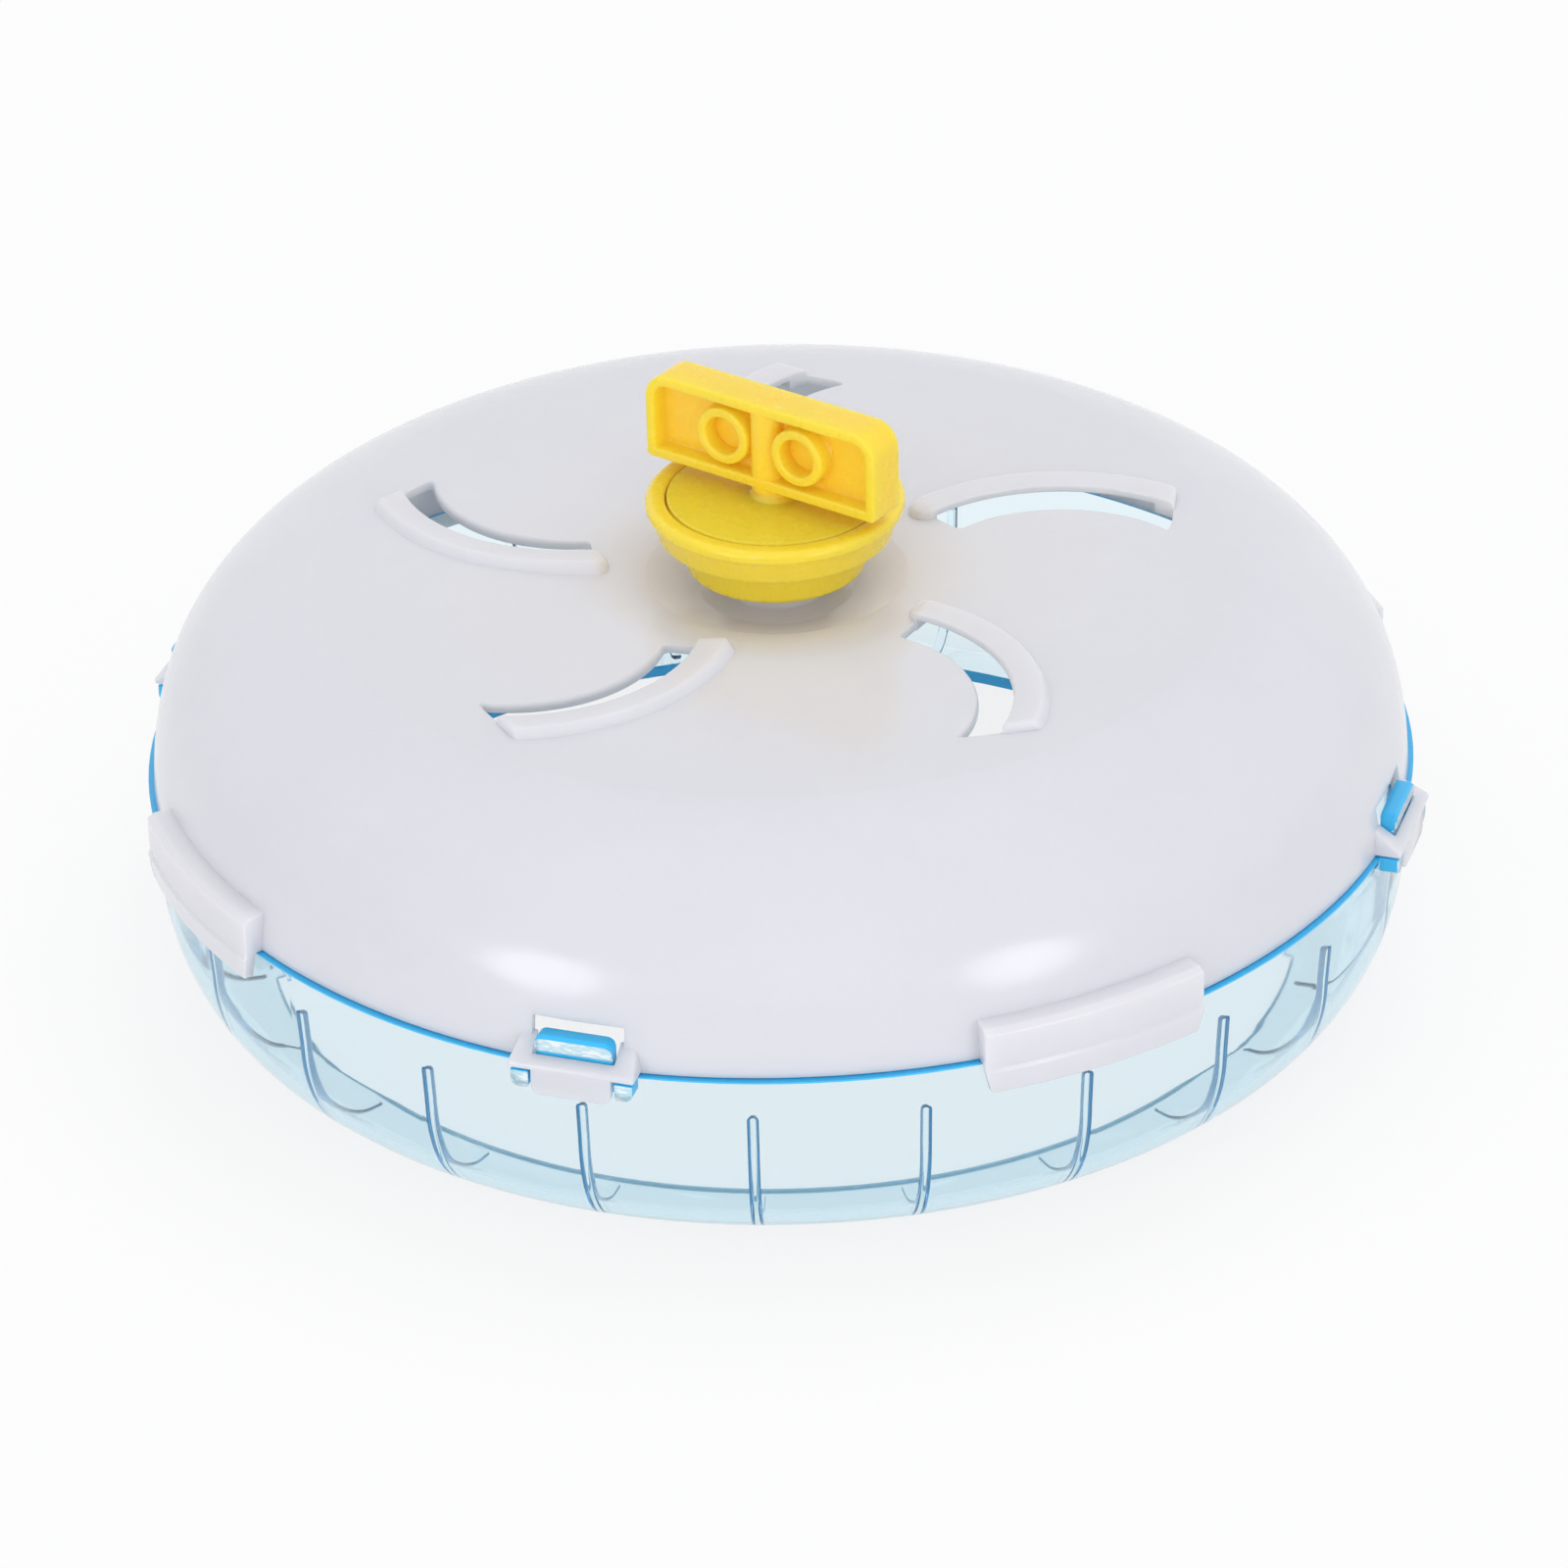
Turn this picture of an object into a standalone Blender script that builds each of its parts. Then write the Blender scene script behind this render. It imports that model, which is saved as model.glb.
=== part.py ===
"""Hamster exercise wheel: a clear front shell clipped to a white back shell, turning on a ball bearing
in a yellow hub cup, which a key plate holds to the bars of a cage.

The wheel lies on its front rim, axle upright. Lengths are in metres, +Z is up along the axle, and the
origin is on the axle at the lowest face. Angles are in degrees. A place called a level is a height above
the seam where the two shells meet.
"""
import math

import bmesh
import bpy
from mathutils import Matrix, Vector

# Clearances and common walls
CLEARANCE = 0.0003
BEARING_CLEARANCE = 0.00015
OVERRUN = 0.002
EMBED = 0.0006
MERGE_DISTANCE = 0.000002

# Smoothness of round pieces
SHELL_STEPS = 60
HUB_STEPS = 40
BEARING_STEPS = 30
SCREW_STEPS = 20
BALL_STEPS = 10
BALL_RINGS = 6
ROUND_STEPS = 4
CORNER_STEPS = 6
SHOULDER_STEPS = 8
SECTOR_STEPS = 9
SHARP_ANGLE = 35

# Front shell
RIM_RADIUS = 0.0700
FRONT_DEPTH = 0.02265
FRONT_WALL = 0.0014
CORNER_WIDTH = 0.0088
CORNER_HEIGHT = 0.0134
FACE_WIDTH = 0.0125
DRAFT_SHARE = 0.070
RUNG_COUNT = 24
RUNG_WIDTH = 0.0012
RUNG_PROUD = 0.0009
RUNG_TOP_DROP = 0.0050
RUNG_LIP_GAP = 0.0007

# Back shell
RIM_STEP = 0.0009
BACK_WALL = 0.0010
BACK_HEIGHT = 0.02265
SHOULDER_WIDTH = 0.0184
ACROSS_ROUNDNESS = 1.53
UPWARD_ROUNDNESS = 2.43
BANK_RADIUS = 0.0205
BANK_DROP = 0.0002
DISH_RADIUS = 0.0144
DISH_EDGE_DROP = 0.00105
DISH_FLOOR_RADIUS = 0.0084
DISH_DEPTH = 0.0020
COLLAR_RADIUS = 0.0051

# Louvred vents in the back shell, each round its own centre
VENT_COUNT = 5
FIRST_VENT_ANGLE = 26.9
VENT_CENTRE_RADIUS = 0.0314
SLOT_INNER_RADIUS = 0.0162
SLOT_WIDTH = 0.0037
SLOT_START = 54
SLOT_END = 141
HOOD_WIDTH = 0.0041
HOOD_HEIGHT = 0.00085
HOOD_LIP = 0.0008
HOOD_BEVEL = 0.0010
HOOD_SHOULDER = 0.0011
HOOD_SINK = 0.0003
HOOD_ROOT = 0.0009
HOOD_START = 61
HOOD_END = 145
HOOD_END_WALL = 3

# Snap clips, one on each side of the wheel
CLIP_COUNT = 4
LOOP_EAR = 0.0019
LOOP_PROUD = 0.0020
LOOP_BAR = 0.0012
LOOP_TOP = 0.0031
LOOP_SHOULDER = 0.0016
LOOP_EDGE = 0.0009
LOOP_FOOT = 0.0002
WINDOW_SIDE_GAP = 0.0008
WINDOW_TOP_GAP = 0.0011
LATCH_HALF_WIDTH = 0.0042
LATCH_THICKNESS = 0.0015
LATCH_TOP = 0.0039
LATCH_HEAD = 0.00035
LATCH_HEAD_HEIGHT = 0.0020
LATCH_ROOT = 0.0020
LATCH_CORNER = 0.0010
TONGUE_DROP = 0.00265
TONGUE_HALF_WIDTH = 0.00435
TONGUE_THICKNESS = 0.0010
TONGUE_CORNER = 0.0010
LUG_WIDTH = 0.00195
LUG_HEIGHT = 0.00195
LUG_REACH = 0.0012
LUG_CORNER = 0.0008
CLIP_EDGE = 0.0002

# Long guide tabs between the clips
GUIDE_START_ANGLE = 45
GUIDE_HALF_LENGTH = 0.0131
GUIDE_PROUD = 0.0018
GUIDE_TOP = 0.0045
GUIDE_EDGE_WIDTH = 0.0008
GUIDE_EDGE_HEIGHT = 0.0004
GUIDE_WAIST = 0.0002
GUIDE_DROP = 0.0031
GUIDE_TAPER = 0.0004

# Ball bearing, 8 by 16 by 4 millimetres
BORE_RADIUS = 0.0040
BEARING_RADIUS = 0.0080
BEARING_WIDTH = 0.0040
RING_THICKNESS = 0.0011
BALL_RADIUS = 0.0010
BALL_COUNT = 10
CAGE_THICKNESS = 0.0009
CAGE_BASE = 0.0003
CAGE_TOP = 0.0005
SHIELD_THICKNESS = 0.00025
SHIELD_INSET = 0.00015

# Yellow hub cup
CUP_GAP = 0.00305
CUP_HEIGHT = 0.00425
CUP_FLOOR = 0.0010
CUP_WALL = 0.00125
CUP_TAPER = 0.0001
CUP_EDGE = 0.0004
BAND_HEIGHT = 0.0028
BAND_WALL = 0.00025
BAND_TAPER = 0.00045
BAND_FLOOR = 0.0012
FLANGE_WALL = 0.00195
FLANGE_THICKNESS = 0.0015
FLANGE_ROUND = 0.0007
LEDGE_WIDTH = 0.0013

# Lid, neck and key plate
LID_RADIUS = 0.0118
LID_GAP = 0.0004
LID_THICKNESS = 0.0012
LID_POCKET_RADIUS = 0.0036
LID_POCKET_GAP = 0.0006
NECK_RADIUS = 0.00215
NECK_FOOT = 0.0006
BAR_GAP = 0.0018
PLATE_ANGLE = -17.6
PLATE_LENGTH = 0.0295
PLATE_HEIGHT = 0.0097
PLATE_THICKNESS = 0.0050
PLATE_TOP_CORNER = 0.0028
PLATE_FOOT_CORNER = 0.0004
PLATE_WALL = 0.0012
POST_RADIUS = 0.0015
BOSS_SPACING = 0.0094
BOSS_RADIUS = 0.0033
BOSS_BORE_RADIUS = 0.0022

# Axle fasteners
PILOT_GAP = 0.0002
PILOT_FLOOR = 0.0015
WASHER_RADIUS = 0.0050
WASHER_THICKNESS = 0.0005
SCREW_RADIUS = 0.0014
SCREW_LENGTH = 0.0058
SCREW_TIP_LENGTH = 0.0009
SCREW_TIP_RADIUS = 0.0005
HEAD_RADIUS = 0.0028
HEAD_HEIGHT = 0.0014
HEAD_ROUND = 0.0005
DRIVE_LENGTH = 0.0028
DRIVE_WIDTH = 0.0006
DRIVE_DEPTH = 0.0007

# Finishes: colour, roughness, metallic
WHITE = ("white_plastic", (0.80, 0.80, 0.83), 0.25, 0.0)
BLUE = ("clear_blue_plastic", (0.45, 0.75, 0.88), 0.10, 0.0)
YELLOW = ("yellow_plastic", (0.90, 0.60, 0.05), 0.30, 0.0)
STEEL = ("bearing_steel", (0.60, 0.60, 0.62), 0.20, 1.0)
ZINC = ("plated_steel", (0.55, 0.56, 0.58), 0.35, 1.0)
NYLON = ("cage_nylon", (0.75, 0.72, 0.62), 0.50, 0.0)

# Levels and radii that follow from the sizes above
OPENING_RADIUS = RIM_RADIUS - FACE_WIDTH
BACK_RADIUS = RIM_RADIUS - RIM_STEP
CROWN_RADIUS = BACK_RADIUS - SHOULDER_WIDTH
BANK_LEVEL = BACK_HEIGHT - BANK_DROP
DISH_EDGE_LEVEL = BACK_HEIGHT - DISH_EDGE_DROP
DISH_FLOOR_LEVEL = DISH_EDGE_LEVEL - DISH_DEPTH
CUP_LEVEL = DISH_FLOOR_LEVEL + CUP_GAP
BAND_LEVEL = CUP_LEVEL + CUP_HEIGHT
FLANGE_LEVEL = BAND_LEVEL + BAND_HEIGHT
LID_LEVEL = FLANGE_LEVEL + FLANGE_THICKNESS
BEARING_LEVEL = CUP_LEVEL + CUP_FLOOR + BEARING_CLEARANCE
COLLAR_TOP = BEARING_LEVEL - CLEARANCE
BEARING_TOP = BEARING_LEVEL + BEARING_WIDTH
BALL_LEVEL = BEARING_LEVEL + BEARING_WIDTH / 2
PITCH_RADIUS = (BORE_RADIUS + BEARING_RADIUS) / 2
STUB_RADIUS = BORE_RADIUS - BEARING_CLEARANCE
STUB_TOP = BEARING_TOP - BEARING_CLEARANCE
WASHER_LEVEL = BEARING_TOP + BEARING_CLEARANCE
HEAD_LEVEL = WASHER_LEVEL + WASHER_THICKNESS + BEARING_CLEARANCE
POCKET_RADIUS = BEARING_RADIUS + BEARING_CLEARANCE
PILOT_RADIUS = SCREW_RADIUS + PILOT_GAP
PILOT_LEVEL = DISH_FLOOR_LEVEL - BACK_WALL + PILOT_FLOOR
LID_FOOT = LID_LEVEL - LID_THICKNESS
LID_POCKET_LEVEL = HEAD_LEVEL + HEAD_HEIGHT + LID_POCKET_GAP
LEDGE_LEVEL = LID_FOOT - CLEARANCE
WELL_RADIUS = LID_RADIUS + LID_GAP
BAND_RADIUS = WELL_RADIUS + BAND_WALL
FLANGE_RADIUS = WELL_RADIUS + FLANGE_WALL
WAIST_RADIUS = POCKET_RADIUS + CUP_WALL
CUP_FOOT_RADIUS = WAIST_RADIUS - CUP_TAPER
PLATE_LEVEL = LID_LEVEL + BAR_GAP
HOOD_LIP_RADIUS = SLOT_INNER_RADIUS + SLOT_WIDTH
HOOD_TOE_RADIUS = HOOD_LIP_RADIUS + HOOD_WIDTH
SEAM_EDGE = CLEARANCE / 2
WINDOW_HALF_WIDTH = LATCH_HALF_WIDTH + WINDOW_SIDE_GAP
WINDOW_TOP = LATCH_TOP + WINDOW_TOP_GAP
LOOP_HALF_WIDTH = WINDOW_HALF_WIDTH + LOOP_EAR
LOOP_REACH = RIM_RADIUS + LOOP_PROUD
GUIDE_REACH = RIM_RADIUS + GUIDE_PROUD
BAR_INNER = LOOP_REACH - LOOP_BAR
LATCH_FRONT = BAR_INNER - CLEARANCE
LATCH_GAP = LATCH_HALF_WIDTH + CLEARANCE
OVER_RIM = RIM_RADIUS + CLEARANCE
RUNG_END_RADIUS = OPENING_RADIUS + RUNG_LIP_GAP


def clear_scene():
    """Remove every object, so that the model stands alone."""
    for thing in list(bpy.data.objects):
        bpy.data.objects.remove(thing, do_unlink=True)


def new_collection(name):
    """Make a collection under the scene's own."""
    group = bpy.data.collections.new(name)
    bpy.context.scene.collection.children.link(group)
    return group


def finish_material(finish):
    """Make, or find, the Principled material of one finish."""
    name, colour, roughness, metallic = finish
    found = bpy.data.materials.get(name)
    if found:
        return found
    material = bpy.data.materials.new(name)
    material.use_nodes = True
    material.diffuse_color = (*colour, 1)
    shader = material.node_tree.nodes["Principled BSDF"]
    shader.inputs["Base Color"].default_value = (*colour, 1)
    shader.inputs["Roughness"].default_value = roughness
    shader.inputs["Metallic"].default_value = metallic
    return material


def add_object(name, data, group):
    """Link a new object that holds the given mesh or curve."""
    thing = bpy.data.objects.new(name, data)
    group.objects.link(thing)
    return thing


def baked(thing):
    """Replace an object by the plain mesh that its modifiers or its curve make."""
    bpy.context.view_layer.update()
    evaluated = thing.evaluated_get(bpy.context.evaluated_depsgraph_get())
    mesh = bpy.data.meshes.new_from_object(evaluated)
    mesh.transform(thing.matrix_world)
    name = thing.name
    group = thing.users_collection[0]
    bpy.data.objects.remove(thing, do_unlink=True)
    weld(mesh)
    return add_object(name, mesh, group)


def weld(mesh):
    """Join a mesh's doubled points and turn its faces outwards."""
    work = bmesh.new()
    work.from_mesh(mesh)
    bmesh.ops.remove_doubles(work, verts=work.verts, dist=MERGE_DISTANCE)
    bmesh.ops.recalc_face_normals(work, faces=work.faces)
    work.to_mesh(mesh)
    work.free()


def turned(name, profile, steps, group, closed=True):
    """Turn a profile of (radius, height) points, outer side first, about the axle."""
    mesh = bpy.data.meshes.new(name)
    count = len(profile)
    edges = [(i, i + 1) for i in range(count - 1)]
    if closed:
        edges.append((count - 1, 0))
    mesh.from_pydata([(radius, 0, height) for radius, height in profile], edges, [])
    thing = add_object(name, mesh, group)
    screw = thing.modifiers.new("turn", "SCREW")
    screw.steps = steps
    screw.render_steps = steps
    screw.use_merge_vertices = True
    screw.merge_threshold = MERGE_DISTANCE
    return baked(thing)


def prism(name, outline, thickness, place, group):
    """Make a flat outline into a plate, centred on its own plane, and put it in place."""
    curve = bpy.data.curves.new(name, "CURVE")
    curve.dimensions = "2D"
    curve.fill_mode = "BOTH"
    curve.extrude = thickness / 2
    spline = curve.splines.new("POLY")
    spline.points.add(len(outline) - 1)
    for point, (across, up) in zip(spline.points, outline):
        point.co = (across, up, 0, 1)
    spline.use_cyclic_u = True
    thing = add_object(name, curve, group)
    thing.matrix_world = place
    return baked(thing)


def sector(name, profile, centre, start, end, steps, group):
    """Sweep a closed profile of (radius, height) points through part of a turn about an upright line."""
    work = bmesh.new()
    turn = Matrix.Rotation(math.radians(start), 4, "Z")
    points = [work.verts.new(centre + turn @ Vector((radius, 0, height))) for radius, height in profile]
    face = work.faces.new(points)
    bmesh.ops.spin(work, geom=[face], cent=centre, axis=(0, 0, 1), steps=steps,
                   angle=math.radians(end - start), use_duplicate=False)
    bmesh.ops.remove_doubles(work, verts=work.verts, dist=MERGE_DISTANCE)
    bmesh.ops.recalc_face_normals(work, faces=work.faces)
    mesh = bpy.data.meshes.new(name)
    work.to_mesh(mesh)
    work.free()
    return add_object(name, mesh, group)


def rod(name, radius, length, steps, place, group):
    """Make a round rod along its own Z, centred, and put it in place."""
    work = bmesh.new()
    bmesh.ops.create_cone(work, cap_ends=True, segments=steps, radius1=radius, radius2=radius,
                          depth=length, matrix=place)
    mesh = bpy.data.meshes.new(name)
    work.to_mesh(mesh)
    work.free()
    return add_object(name, mesh, group)


def box(name, low, high, place, group):
    """Make a box between two corners and put it in place."""
    size = Vector(high) - Vector(low)
    middle = (Vector(high) + Vector(low)) / 2
    work = bmesh.new()
    fitted = place @ Matrix.Translation(middle) @ Matrix.Diagonal((*size, 1))
    bmesh.ops.create_cube(work, size=1, matrix=fitted)
    mesh = bpy.data.meshes.new(name)
    work.to_mesh(mesh)
    work.free()
    return add_object(name, mesh, group)


def joined_mesh(name, things, group):
    """Gather several separate solids into one object, to cut or join with in one step."""
    work = bmesh.new()
    for thing in things:
        work.from_mesh(thing.data)
        bpy.data.objects.remove(thing, do_unlink=True)
    mesh = bpy.data.meshes.new(name)
    work.to_mesh(mesh)
    work.free()
    return add_object(name, mesh, group)


def combine(thing, tool, operation):
    """Cut an object with a tool, or join the tool to it, and remove the tool."""
    tool.hide_render = True
    tool.display_type = "WIRE"
    step = thing.modifiers.new("combine", "BOOLEAN")
    step.operation = operation
    step.solver = "EXACT"
    step.object = tool
    result = baked(thing)
    bpy.data.objects.remove(tool, do_unlink=True)
    return result


def cut(thing, tool):
    """Take the tool's space out of an object."""
    return combine(thing, tool, "DIFFERENCE")


def fuse(thing, tool):
    """Join the tool to an object as one closed body."""
    return combine(thing, tool, "UNION")


def finished(thing, finish, parent, level=0.0):
    """Name the piece's finish, shade it and hang it on its axis empty."""
    thing.data.materials.clear()
    thing.data.materials.append(finish_material(finish))
    thing.data.shade_smooth()
    thing.data.set_sharp_from_angle(angle=math.radians(SHARP_ANGLE))
    thing.parent = parent
    thing.location = (0, 0, level)
    return thing


def axis_empty(name, height, group):
    """Make an empty on the axle that pieces hang on."""
    empty = bpy.data.objects.new(name, None)
    empty.location = (0, 0, height)
    group.objects.link(empty)
    return empty


def facing(angle):
    """Return the outward and the sideways direction at an angle from the front, seen from the axle."""
    turn = math.radians(angle)
    outward = Vector((math.sin(turn), -math.cos(turn), 0))
    sideways = Vector((math.cos(turn), math.sin(turn), 0))
    return outward, sideways


def basis(across, up, origin):
    """Return the matrix that lays a flat outline along two directions from an origin."""
    through = across.cross(up)
    turn = Matrix((across, up, through)).transposed().to_4x4()
    return Matrix.Translation(origin) @ turn


def radial_plane(angle):
    """Return the plane of outward distance and height at an angle."""
    outward, _ = facing(angle)
    return basis(outward, Vector((0, 0, 1)), Vector((0, 0, 0)))


def floor_plane(angle):
    """Return the plane of outward and sideways distance at an angle."""
    outward, sideways = facing(angle)
    return basis(outward, sideways, Vector((0, 0, 0)))


def face_plane(angle, inner, outer):
    """Return the plane of sideways distance and height, midway between two distances from the axle."""
    outward, sideways = facing(angle)
    return basis(sideways, Vector((0, 0, 1)), outward * (inner + outer) / 2)


def ellipse(centre, half_width, half_height, start, end, steps):
    """Return points along part of an ellipse, in degrees from its outward side."""
    points = []
    for step in range(steps + 1):
        turn = math.radians(start + (end - start) * step / steps)
        points.append((centre[0] + half_width * math.cos(turn), centre[1] + half_height * math.sin(turn)))
    return points


def rounded_outline(left, right, bottom, top, foot, head):
    """Return an upright outline with rounded lower corners and rounded upper corners."""
    points = ellipse((right - foot, bottom + foot), foot, foot, -90, 0, ROUND_STEPS)
    points += ellipse((right - head, top - head), head, head, 0, 90, ROUND_STEPS)
    points += ellipse((left + head, top - head), head, head, 90, 180, ROUND_STEPS)
    points += ellipse((left + foot, bottom + foot), foot, foot, 180, 270, ROUND_STEPS)
    return points


def front_profile(inset):
    """Return the front shell's line, moved inwards by an inset, from the seam to where the rungs end."""
    floor = -FRONT_DEPTH + inset
    corner_level = -FRONT_DEPTH + CORNER_HEIGHT
    corner_radius = RIM_RADIUS - DRAFT_SHARE * (FRONT_DEPTH - CORNER_HEIGHT)
    centre = (corner_radius - CORNER_WIDTH, corner_level)
    points = [(RIM_RADIUS - inset, -SEAM_EDGE)]
    points += ellipse(centre, CORNER_WIDTH - inset, CORNER_HEIGHT - inset, 0, -90, CORNER_STEPS)
    points.append((RUNG_END_RADIUS, floor))
    return points


def rung_outline():
    """Return one running rung's outline in the plane of radius and height."""
    top = -RUNG_TOP_DROP
    outer = [(radius, min(level, top)) for radius, level in front_profile(FRONT_WALL - EMBED)]
    inner = [(radius, min(level, top)) for radius, level in front_profile(FRONT_WALL + RUNG_PROUD)]
    return outer + inner[::-1]


def rungs(group):
    """Make all the running rungs as one set of separate bars."""
    bars = []
    for number in range(RUNG_COUNT):
        plane = radial_plane(number * 360 / RUNG_COUNT)
        bars.append(prism("rung", rung_outline(), RUNG_WIDTH, plane, group))
    return joined_mesh("rungs", bars, group)


def latch(angle, group):
    """Make the latch tab that rises from the front shell behind a clip's bar, with its hooked head."""
    back = LATCH_FRONT - LATCH_THICKNESS
    hook = LATCH_FRONT + LATCH_HEAD
    hook_level = LATCH_TOP - LATCH_HEAD_HEIGHT
    side = [(back, -LATCH_ROOT), (LATCH_FRONT, -LATCH_ROOT), (LATCH_FRONT, hook_level), (hook, hook_level),
            (hook, LATCH_TOP - LATCH_HEAD), (LATCH_FRONT, LATCH_TOP), (back, LATCH_TOP)]
    blade = prism("latch", side, 2 * LATCH_HALF_WIDTH, radial_plane(angle), group)
    front = rounded_outline(-LATCH_HALF_WIDTH, LATCH_HALF_WIDTH, -LATCH_ROOT - OVERRUN, LATCH_TOP,
                            LATCH_CORNER, LATCH_CORNER)
    depth = LATCH_THICKNESS + LATCH_HEAD + OVERRUN
    keep = prism("latch_front", front, depth, face_plane(angle, back, hook), group)
    return combine(blade, keep, "INTERSECT")


def lug(angle, side, group):
    """Make one of the two small stops under a clip's ears."""
    top = -SEAM_EDGE
    reach = LATCH_FRONT + LUG_REACH
    inner = RIM_RADIUS - FRONT_WALL / 2
    near = TONGUE_HALF_WIDTH + CLEARANCE
    ends = sorted((side * near, side * (near + LUG_WIDTH)))
    outline = rounded_outline(ends[0], ends[1], top - LUG_HEIGHT, top, LUG_CORNER, CLIP_EDGE)
    return prism("lug", outline, reach - inner, face_plane(angle, inner, reach), group)


def front_shell(parent, group):
    """Make the clear front shell: turned wall and opening, rungs inside, latches and lugs outside."""
    lip = [(OPENING_RADIUS, -FRONT_DEPTH), (OPENING_RADIUS, FRONT_WALL - FRONT_DEPTH)]
    outline = front_profile(0)[:-1] + lip + front_profile(FRONT_WALL)[-2::-1]
    shell = turned("front_shell", outline, SHELL_STEPS, group)
    extras = [rungs(group)]
    for number in range(CLIP_COUNT):
        angle = number * 360 / CLIP_COUNT
        extras.append(latch(angle, group))
        extras.append(lug(angle, -1, group))
        extras.append(lug(angle, 1, group))
    shell = fuse(shell, joined_mesh("front_extras", extras, group))
    return finished(shell, BLUE, parent)


def shoulder(inset):
    """Return the back shell's curve from its crown to the seam, moved inwards by an inset."""
    width = BACK_RADIUS - CROWN_RADIUS - inset
    height = BACK_HEIGHT - inset
    points = []
    for step in range(SHOULDER_STEPS + 1):
        turn = math.radians(90) * (1 - step / SHOULDER_STEPS)
        across = math.cos(turn) ** (2 / ACROSS_ROUNDNESS) if step else 0.0
        up = math.sin(turn) ** (2 / UPWARD_ROUNDNESS) if step < SHOULDER_STEPS else 0.0
        points.append((CROWN_RADIUS + width * across, SEAM_EDGE + (height - SEAM_EDGE) * up))
    return points


def back_profile():
    """Return the back shell's whole section, from its screw hole over the crown and back inside."""
    points = [(0, PILOT_LEVEL), (PILOT_RADIUS, PILOT_LEVEL), (PILOT_RADIUS, STUB_TOP),
              (STUB_RADIUS, STUB_TOP), (STUB_RADIUS, COLLAR_TOP), (COLLAR_RADIUS, COLLAR_TOP),
              (COLLAR_RADIUS, DISH_FLOOR_LEVEL), (DISH_FLOOR_RADIUS, DISH_FLOOR_LEVEL),
              (DISH_RADIUS, DISH_EDGE_LEVEL), (BANK_RADIUS, BANK_LEVEL)]
    points += shoulder(0)
    points += shoulder(BACK_WALL)[::-1]
    points += [(BANK_RADIUS, BANK_LEVEL - BACK_WALL), (DISH_RADIUS, DISH_EDGE_LEVEL - BACK_WALL),
               (DISH_FLOOR_RADIUS, DISH_FLOOR_LEVEL - BACK_WALL), (0, DISH_FLOOR_LEVEL - BACK_WALL)]
    return points


def vent_places():
    """Return each vent's centre and the turn that its angles start from."""
    places = []
    for number in range(VENT_COUNT):
        angle = FIRST_VENT_ANGLE + number * 360 / VENT_COUNT
        outward, _ = facing(angle)
        places.append((outward * VENT_CENTRE_RADIUS, angle - 90))
    return places


def vent_hoods(group):
    """Make the raised louvre over each vent, which rises a little from the slot and ends in a bevel."""
    low = BACK_HEIGHT - HOOD_ROOT
    top = BACK_HEIGHT + HOOD_HEIGHT
    section = [(HOOD_LIP_RADIUS, low), (HOOD_LIP_RADIUS, top),
               (HOOD_TOE_RADIUS - HOOD_BEVEL, BACK_HEIGHT + HOOD_SHOULDER),
               (HOOD_TOE_RADIUS, BACK_HEIGHT - HOOD_SINK), (HOOD_TOE_RADIUS, low)]
    hoods = [sector("hood", section, centre, base + HOOD_START, base + HOOD_END, SECTOR_STEPS, group)
             for centre, base in vent_places()]
    return joined_mesh("hoods", hoods, group)


def vent_slots(group):
    """Make the cutters for each vent: the slot through the wall and the hollow under its hood."""
    low = DISH_FLOOR_LEVEL - BACK_WALL - OVERRUN
    high = BACK_HEIGHT + HOOD_HEIGHT + OVERRUN
    slot = [(SLOT_INNER_RADIUS, low), (HOOD_LIP_RADIUS, low),
            (HOOD_LIP_RADIUS, high), (SLOT_INNER_RADIUS, high)]
    lip_foot = BACK_HEIGHT + HOOD_HEIGHT - HOOD_LIP
    hollow_end = HOOD_TOE_RADIUS - HOOD_LIP
    hollow = [(HOOD_LIP_RADIUS - EMBED, low), (hollow_end, low), (hollow_end, BACK_HEIGHT - BACK_WALL),
              (HOOD_LIP_RADIUS + HOOD_LIP, lip_foot), (HOOD_LIP_RADIUS - EMBED, lip_foot)]
    slots = []
    hollows = []
    for centre, base in vent_places():
        slots.append(sector("slot", slot, centre, base + SLOT_START, base + SLOT_END, SECTOR_STEPS, group))
        hollows.append(sector("hollow", hollow, centre, base + HOOD_START + HOOD_END_WALL,
                              base + SLOT_END - HOOD_END_WALL, SECTOR_STEPS, group))
    return joined_mesh("slots", slots, group), joined_mesh("hollows", hollows, group)


def clip_loop(angle, group):
    """Make one clip's loop: its ears and bar in side view, with the tongue that hangs from the bar."""
    inner = BACK_RADIUS - BACK_WALL / 2
    side = [(inner, LOOP_FOOT), (LOOP_REACH, LOOP_FOOT), (LOOP_REACH, LOOP_EDGE), (BAR_INNER, LOOP_SHOULDER),
            (inner, LOOP_TOP)]
    ears = prism("loop", side, 2 * LOOP_HALF_WIDTH, radial_plane(angle), group)
    low = (BACK_RADIUS - BACK_WALL - OVERRUN, -LATCH_GAP, -OVERRUN)
    high = (BAR_INNER, LATCH_GAP, WINDOW_TOP)
    ears = cut(ears, box("loop_gap", low, high, floor_plane(angle), group))
    tongue_outer = LOOP_REACH - SEAM_EDGE
    tongue_inner = tongue_outer - TONGUE_THICKNESS
    outline = rounded_outline(-TONGUE_HALF_WIDTH, TONGUE_HALF_WIDTH, -TONGUE_DROP, LOOP_FOOT + EMBED,
                              TONGUE_CORNER, CLIP_EDGE)
    plane = face_plane(angle, tongue_inner, tongue_outer)
    return fuse(ears, prism("tongue", outline, TONGUE_THICKNESS, plane, group))


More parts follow.
